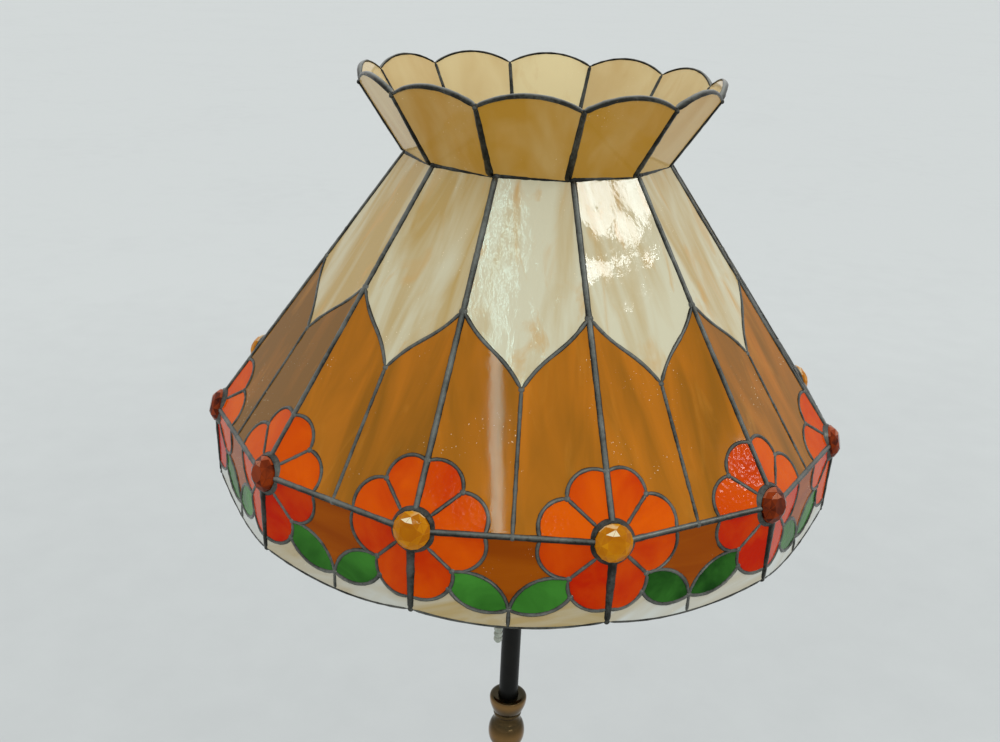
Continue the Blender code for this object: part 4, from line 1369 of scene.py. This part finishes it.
def make_carrier():
    """The ring, four arms and hub that carry the shade."""
    _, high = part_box("shade_spider")
    top = high.z
    reach = high.x
    shape = Shape()
    wall = 0.0022
    inner = reach - wall
    bevel = 0.0004
    ring = [(inner, top - 0.0057), (inner + bevel, top - 0.0060), (reach - bevel, top - 0.0060)]
    ring += [(reach, top - 0.0056), (reach, top - bevel), (reach - bevel, top), (inner + bevel, top)]
    ring += [(inner, top - bevel)]
    shape.turned(ring, 96)
    hub = [(0.0037, top - 0.0025), (0.0156, top - 0.0025), (0.0160, top - 0.0021), (0.0160, top - 0.0004)]
    hub += [(0.0156, top), (0.0037, top)]
    shape.turned(hub, 48)
    for turn in range(4):
        spin = Matrix.Rotation(turn * math.pi / 2, 3, "Z")
        arm = [spin @ Vector((x, 0, top - 0.00125)) for x in (0.0140, 0.0400, 0.0700, reach - 0.0012)]
        shape.run(arm, Vector((0, 0, 1)), 0.0058, 0.00145, 16, ends=1.0)
        end = Vector((reach - 0.0015, 0, top - 0.0015))
        shape.blob(spin @ end, spin @ Vector((1, 0, 0)), 0.0034, 0.0014)
    add_piece("shade_carrier", shape.mesh("carrier"), STEEL, "shade", "steel", "shade_spider")


def make_finial():
    """The turned knob on the harp's stud."""
    low, height = middle_of("finial")
    knob = [(0, 0.0140), (0.0035, 0.0140), (0.0035, 0.0), (0.0100, 0.0), (0.0105, 0.0005), (0.0105, 0.0016)]
    knob += [(0.0100, 0.0022)]
    stem = [(0.0084, 0.0030), (0.0060, 0.0045), (0.0048, 0.0066), (0.0048, 0.0088)]
    knob += curved(stem, 5)
    knob += oval(0.0, 0.0180, 0.0085, 0.0080, -52, 66, 20)
    knob += [(0.0024, 0.0262), (0.0014, 0.0271), (0, height)]
    add_turned("brass_finial", knob, BRIGHT_BRASS, "finial", "brass", ["finial"], 56, raised(low.z))


def make_chain():
    """The bead chain and the ribbed fob on its end."""
    foot, height = middle_of("pull_chain")
    place = Matrix.Translation(foot)
    bead = 0.00145
    pitch = 0.0037
    shape = Shape()
    count = int((height - 2 * bead) / pitch)
    turns = [math.pi * i / 8 for i in range(9)]
    ball = [(bead * math.sin(a), -bead * math.cos(a)) for a in turns]
    ball[0] = (0.0, -bead)
    ball[-1] = (0.0, bead)
    for i in range(count + 1):
        shape.turned(ball, 14, place @ raised(height - bead - i * pitch))
    link = 0.00045
    shape.turned([(0, 0), (link, 0), (link, height - bead), (0, height - bead)], 8, place)
    add_piece("bead_chain", shape.mesh("chain"), STEEL, "pull", "steel", "pull_chain")

    low, height = middle_of("pull_fob")
    fob = [(0, 0), (0.0016, 0), (0.0022, 0.0004), (0.0026, 0.0014)]
    for i in range(3):
        fob += oval(0.0026, 0.004 + i * 0.0052, 0.0014, 0.0024, -75, 75, 8)
    fob += [(0.0024, height - 0.0050), (0.0019, height - 0.0028), (0.0018, height - 0.0006)]
    fob += [(0.0013, height), (0, height)]
    place = Matrix.Translation((foot.x, foot.y, low.z))
    add_turned("ribbed_fob", fob, FOB, "pull", "fob", ["pull_fob"], 32, place)


def finish_hidden_parts():
    """Finishes for the CAD pieces that are shown as they are."""
    kept = {
        "base_weight": IRON,
        "base_nut": STEEL,
        "lamp_pipe": STEEL,
        "harp_saddle": STEEL,
        "socket_liner": PORCELAIN,
    }
    for node, material in kept.items():
        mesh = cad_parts[node].data
        mesh.materials.clear()
        mesh.materials.append(material)


# ---------------------------------------------------------------- stage, light and camera


def make_stage():
    """A wide floor, painted paler far away as a fall-off of light."""
    pale = Finish("pale_floor", roughness=0.9)
    place = pale.place()
    broad = pale.noise(place, 0.9, 5.0, 0.6, 0.4)
    fine = pale.noise(place, 7.0, 5.0, 0.6)
    away = pale.node("ShaderNodeVectorMath", {0: place}, operation="LENGTH").outputs["Value"]
    uneven = pale.span(pale.sum(broad, fine), 0.7, 1.3, -0.15, 0.15)
    share = pale.sum(uneven, pale.span(away, 0.6, 4.5))
    pale.set("Base Color", pale.blend(share, FLOOR_NEAR, FLOOR_FAR))
    pale.set("Specular Ior Level", 0.1)
    shape = bmesh.new()
    bmesh.ops.create_circle(shape, cap_ends=True, radius=60, segments=64)
    mesh = bpy.data.meshes.new("floor")
    shape.to_mesh(mesh)
    shape.free()
    mesh.materials.append(pale.material)
    floor = bpy.data.objects.new("floor", mesh)
    floor.location.z = -0.0005
    bpy.context.scene.collection.objects.link(floor)


def add_light(name, aim, direction, distance, size, glow, colour=(1, 1, 1), roll=0.0):
    """A rectangular soft light that faces a point. Glow is its brightness, with white paper at 1."""
    width, height = size
    lamp = bpy.data.lights.new(name, "AREA")
    lamp.shape = "RECTANGLE"
    lamp.size = width
    lamp.size_y = height
    lamp.energy = glow * math.pi * width * height
    lamp.color = colour
    light = bpy.data.objects.new(name, lamp)
    away = Vector(direction).normalized()
    light.location = Vector(aim) + away * distance
    turn = Matrix.Rotation(math.radians(roll), 3, "Z")
    light.rotation_euler = (away.to_track_quat("Z", "Y").to_matrix() @ turn).to_euler()
    bpy.context.scene.collection.objects.link(light)


def make_light():
    """Even daylight from all round, windows to the right, and a tall bright gap behind the camera."""
    world = bpy.data.worlds.new("daylight")
    bpy.context.scene.world = world
    world.use_nodes = True
    sky = world.node_tree.nodes["Background"]
    sky.inputs["Color"].default_value = SKY
    sky.inputs["Strength"].default_value = SKY_STRENGTH
    add_light(
        "window",
        aim=(0.0221, -0.1141, 1.4258),
        direction=(0.6377, -0.3279, 0.6971),
        distance=2.2,
        size=(0.24, 0.22),
        glow=21.0,
        colour=(0.95, 1.0, 0.98),
    )
    add_light(
        "bright_gap",
        aim=(-0.06, -0.20, 1.31),
        direction=(-0.22, -0.645, 0.82),
        distance=2.4,
        size=(0.032, 1.0),
        glow=20.0,
        colour=(0.60, 1.0, 0.98),
        roll=7,
    )
    add_light(
        "small_window",
        aim=(0.1160, -0.1960, 1.2800),
        direction=(0.749, -0.4326, 0.5019),
        distance=2.2,
        size=(0.06, 0.05),
        glow=115.0,
    )
    add_light(
        "low_window",
        aim=(0, 0, 1.0),
        direction=(0.237, -0.949, 0.208),
        distance=2.0,
        size=(0.8, 0.16),
        glow=5.0,
    )
    bpy.context.scene.view_settings.view_transform = "Standard"


def make_camera():
    """The camera looks down on the shade from about eye height."""
    lens = bpy.data.cameras.new("camera")
    lens.sensor_width = SENSOR
    lens.lens = FOCAL_LENGTH
    lens.clip_end = 200.0
    camera = bpy.data.objects.new("camera", lens)
    pan, tilt, roll = (Matrix.Rotation(math.radians(angle), 4, axis) for angle, axis in CAMERA_TURNS)
    camera.matrix_world = Matrix.Translation(CAMERA_AT) @ pan @ tilt @ roll
    bpy.context.scene.collection.objects.link(camera)
    bpy.context.scene.camera = camera


make_panes()
make_jewels()
make_side_lead()
make_main_lead()
make_jewel_rings()
make_column()
make_base()
make_cap()
make_shell()
make_bulb()
make_harp()
make_carrier()
make_finial()
make_chain()
finish_hidden_parts()
make_stage()
make_light()
make_camera()
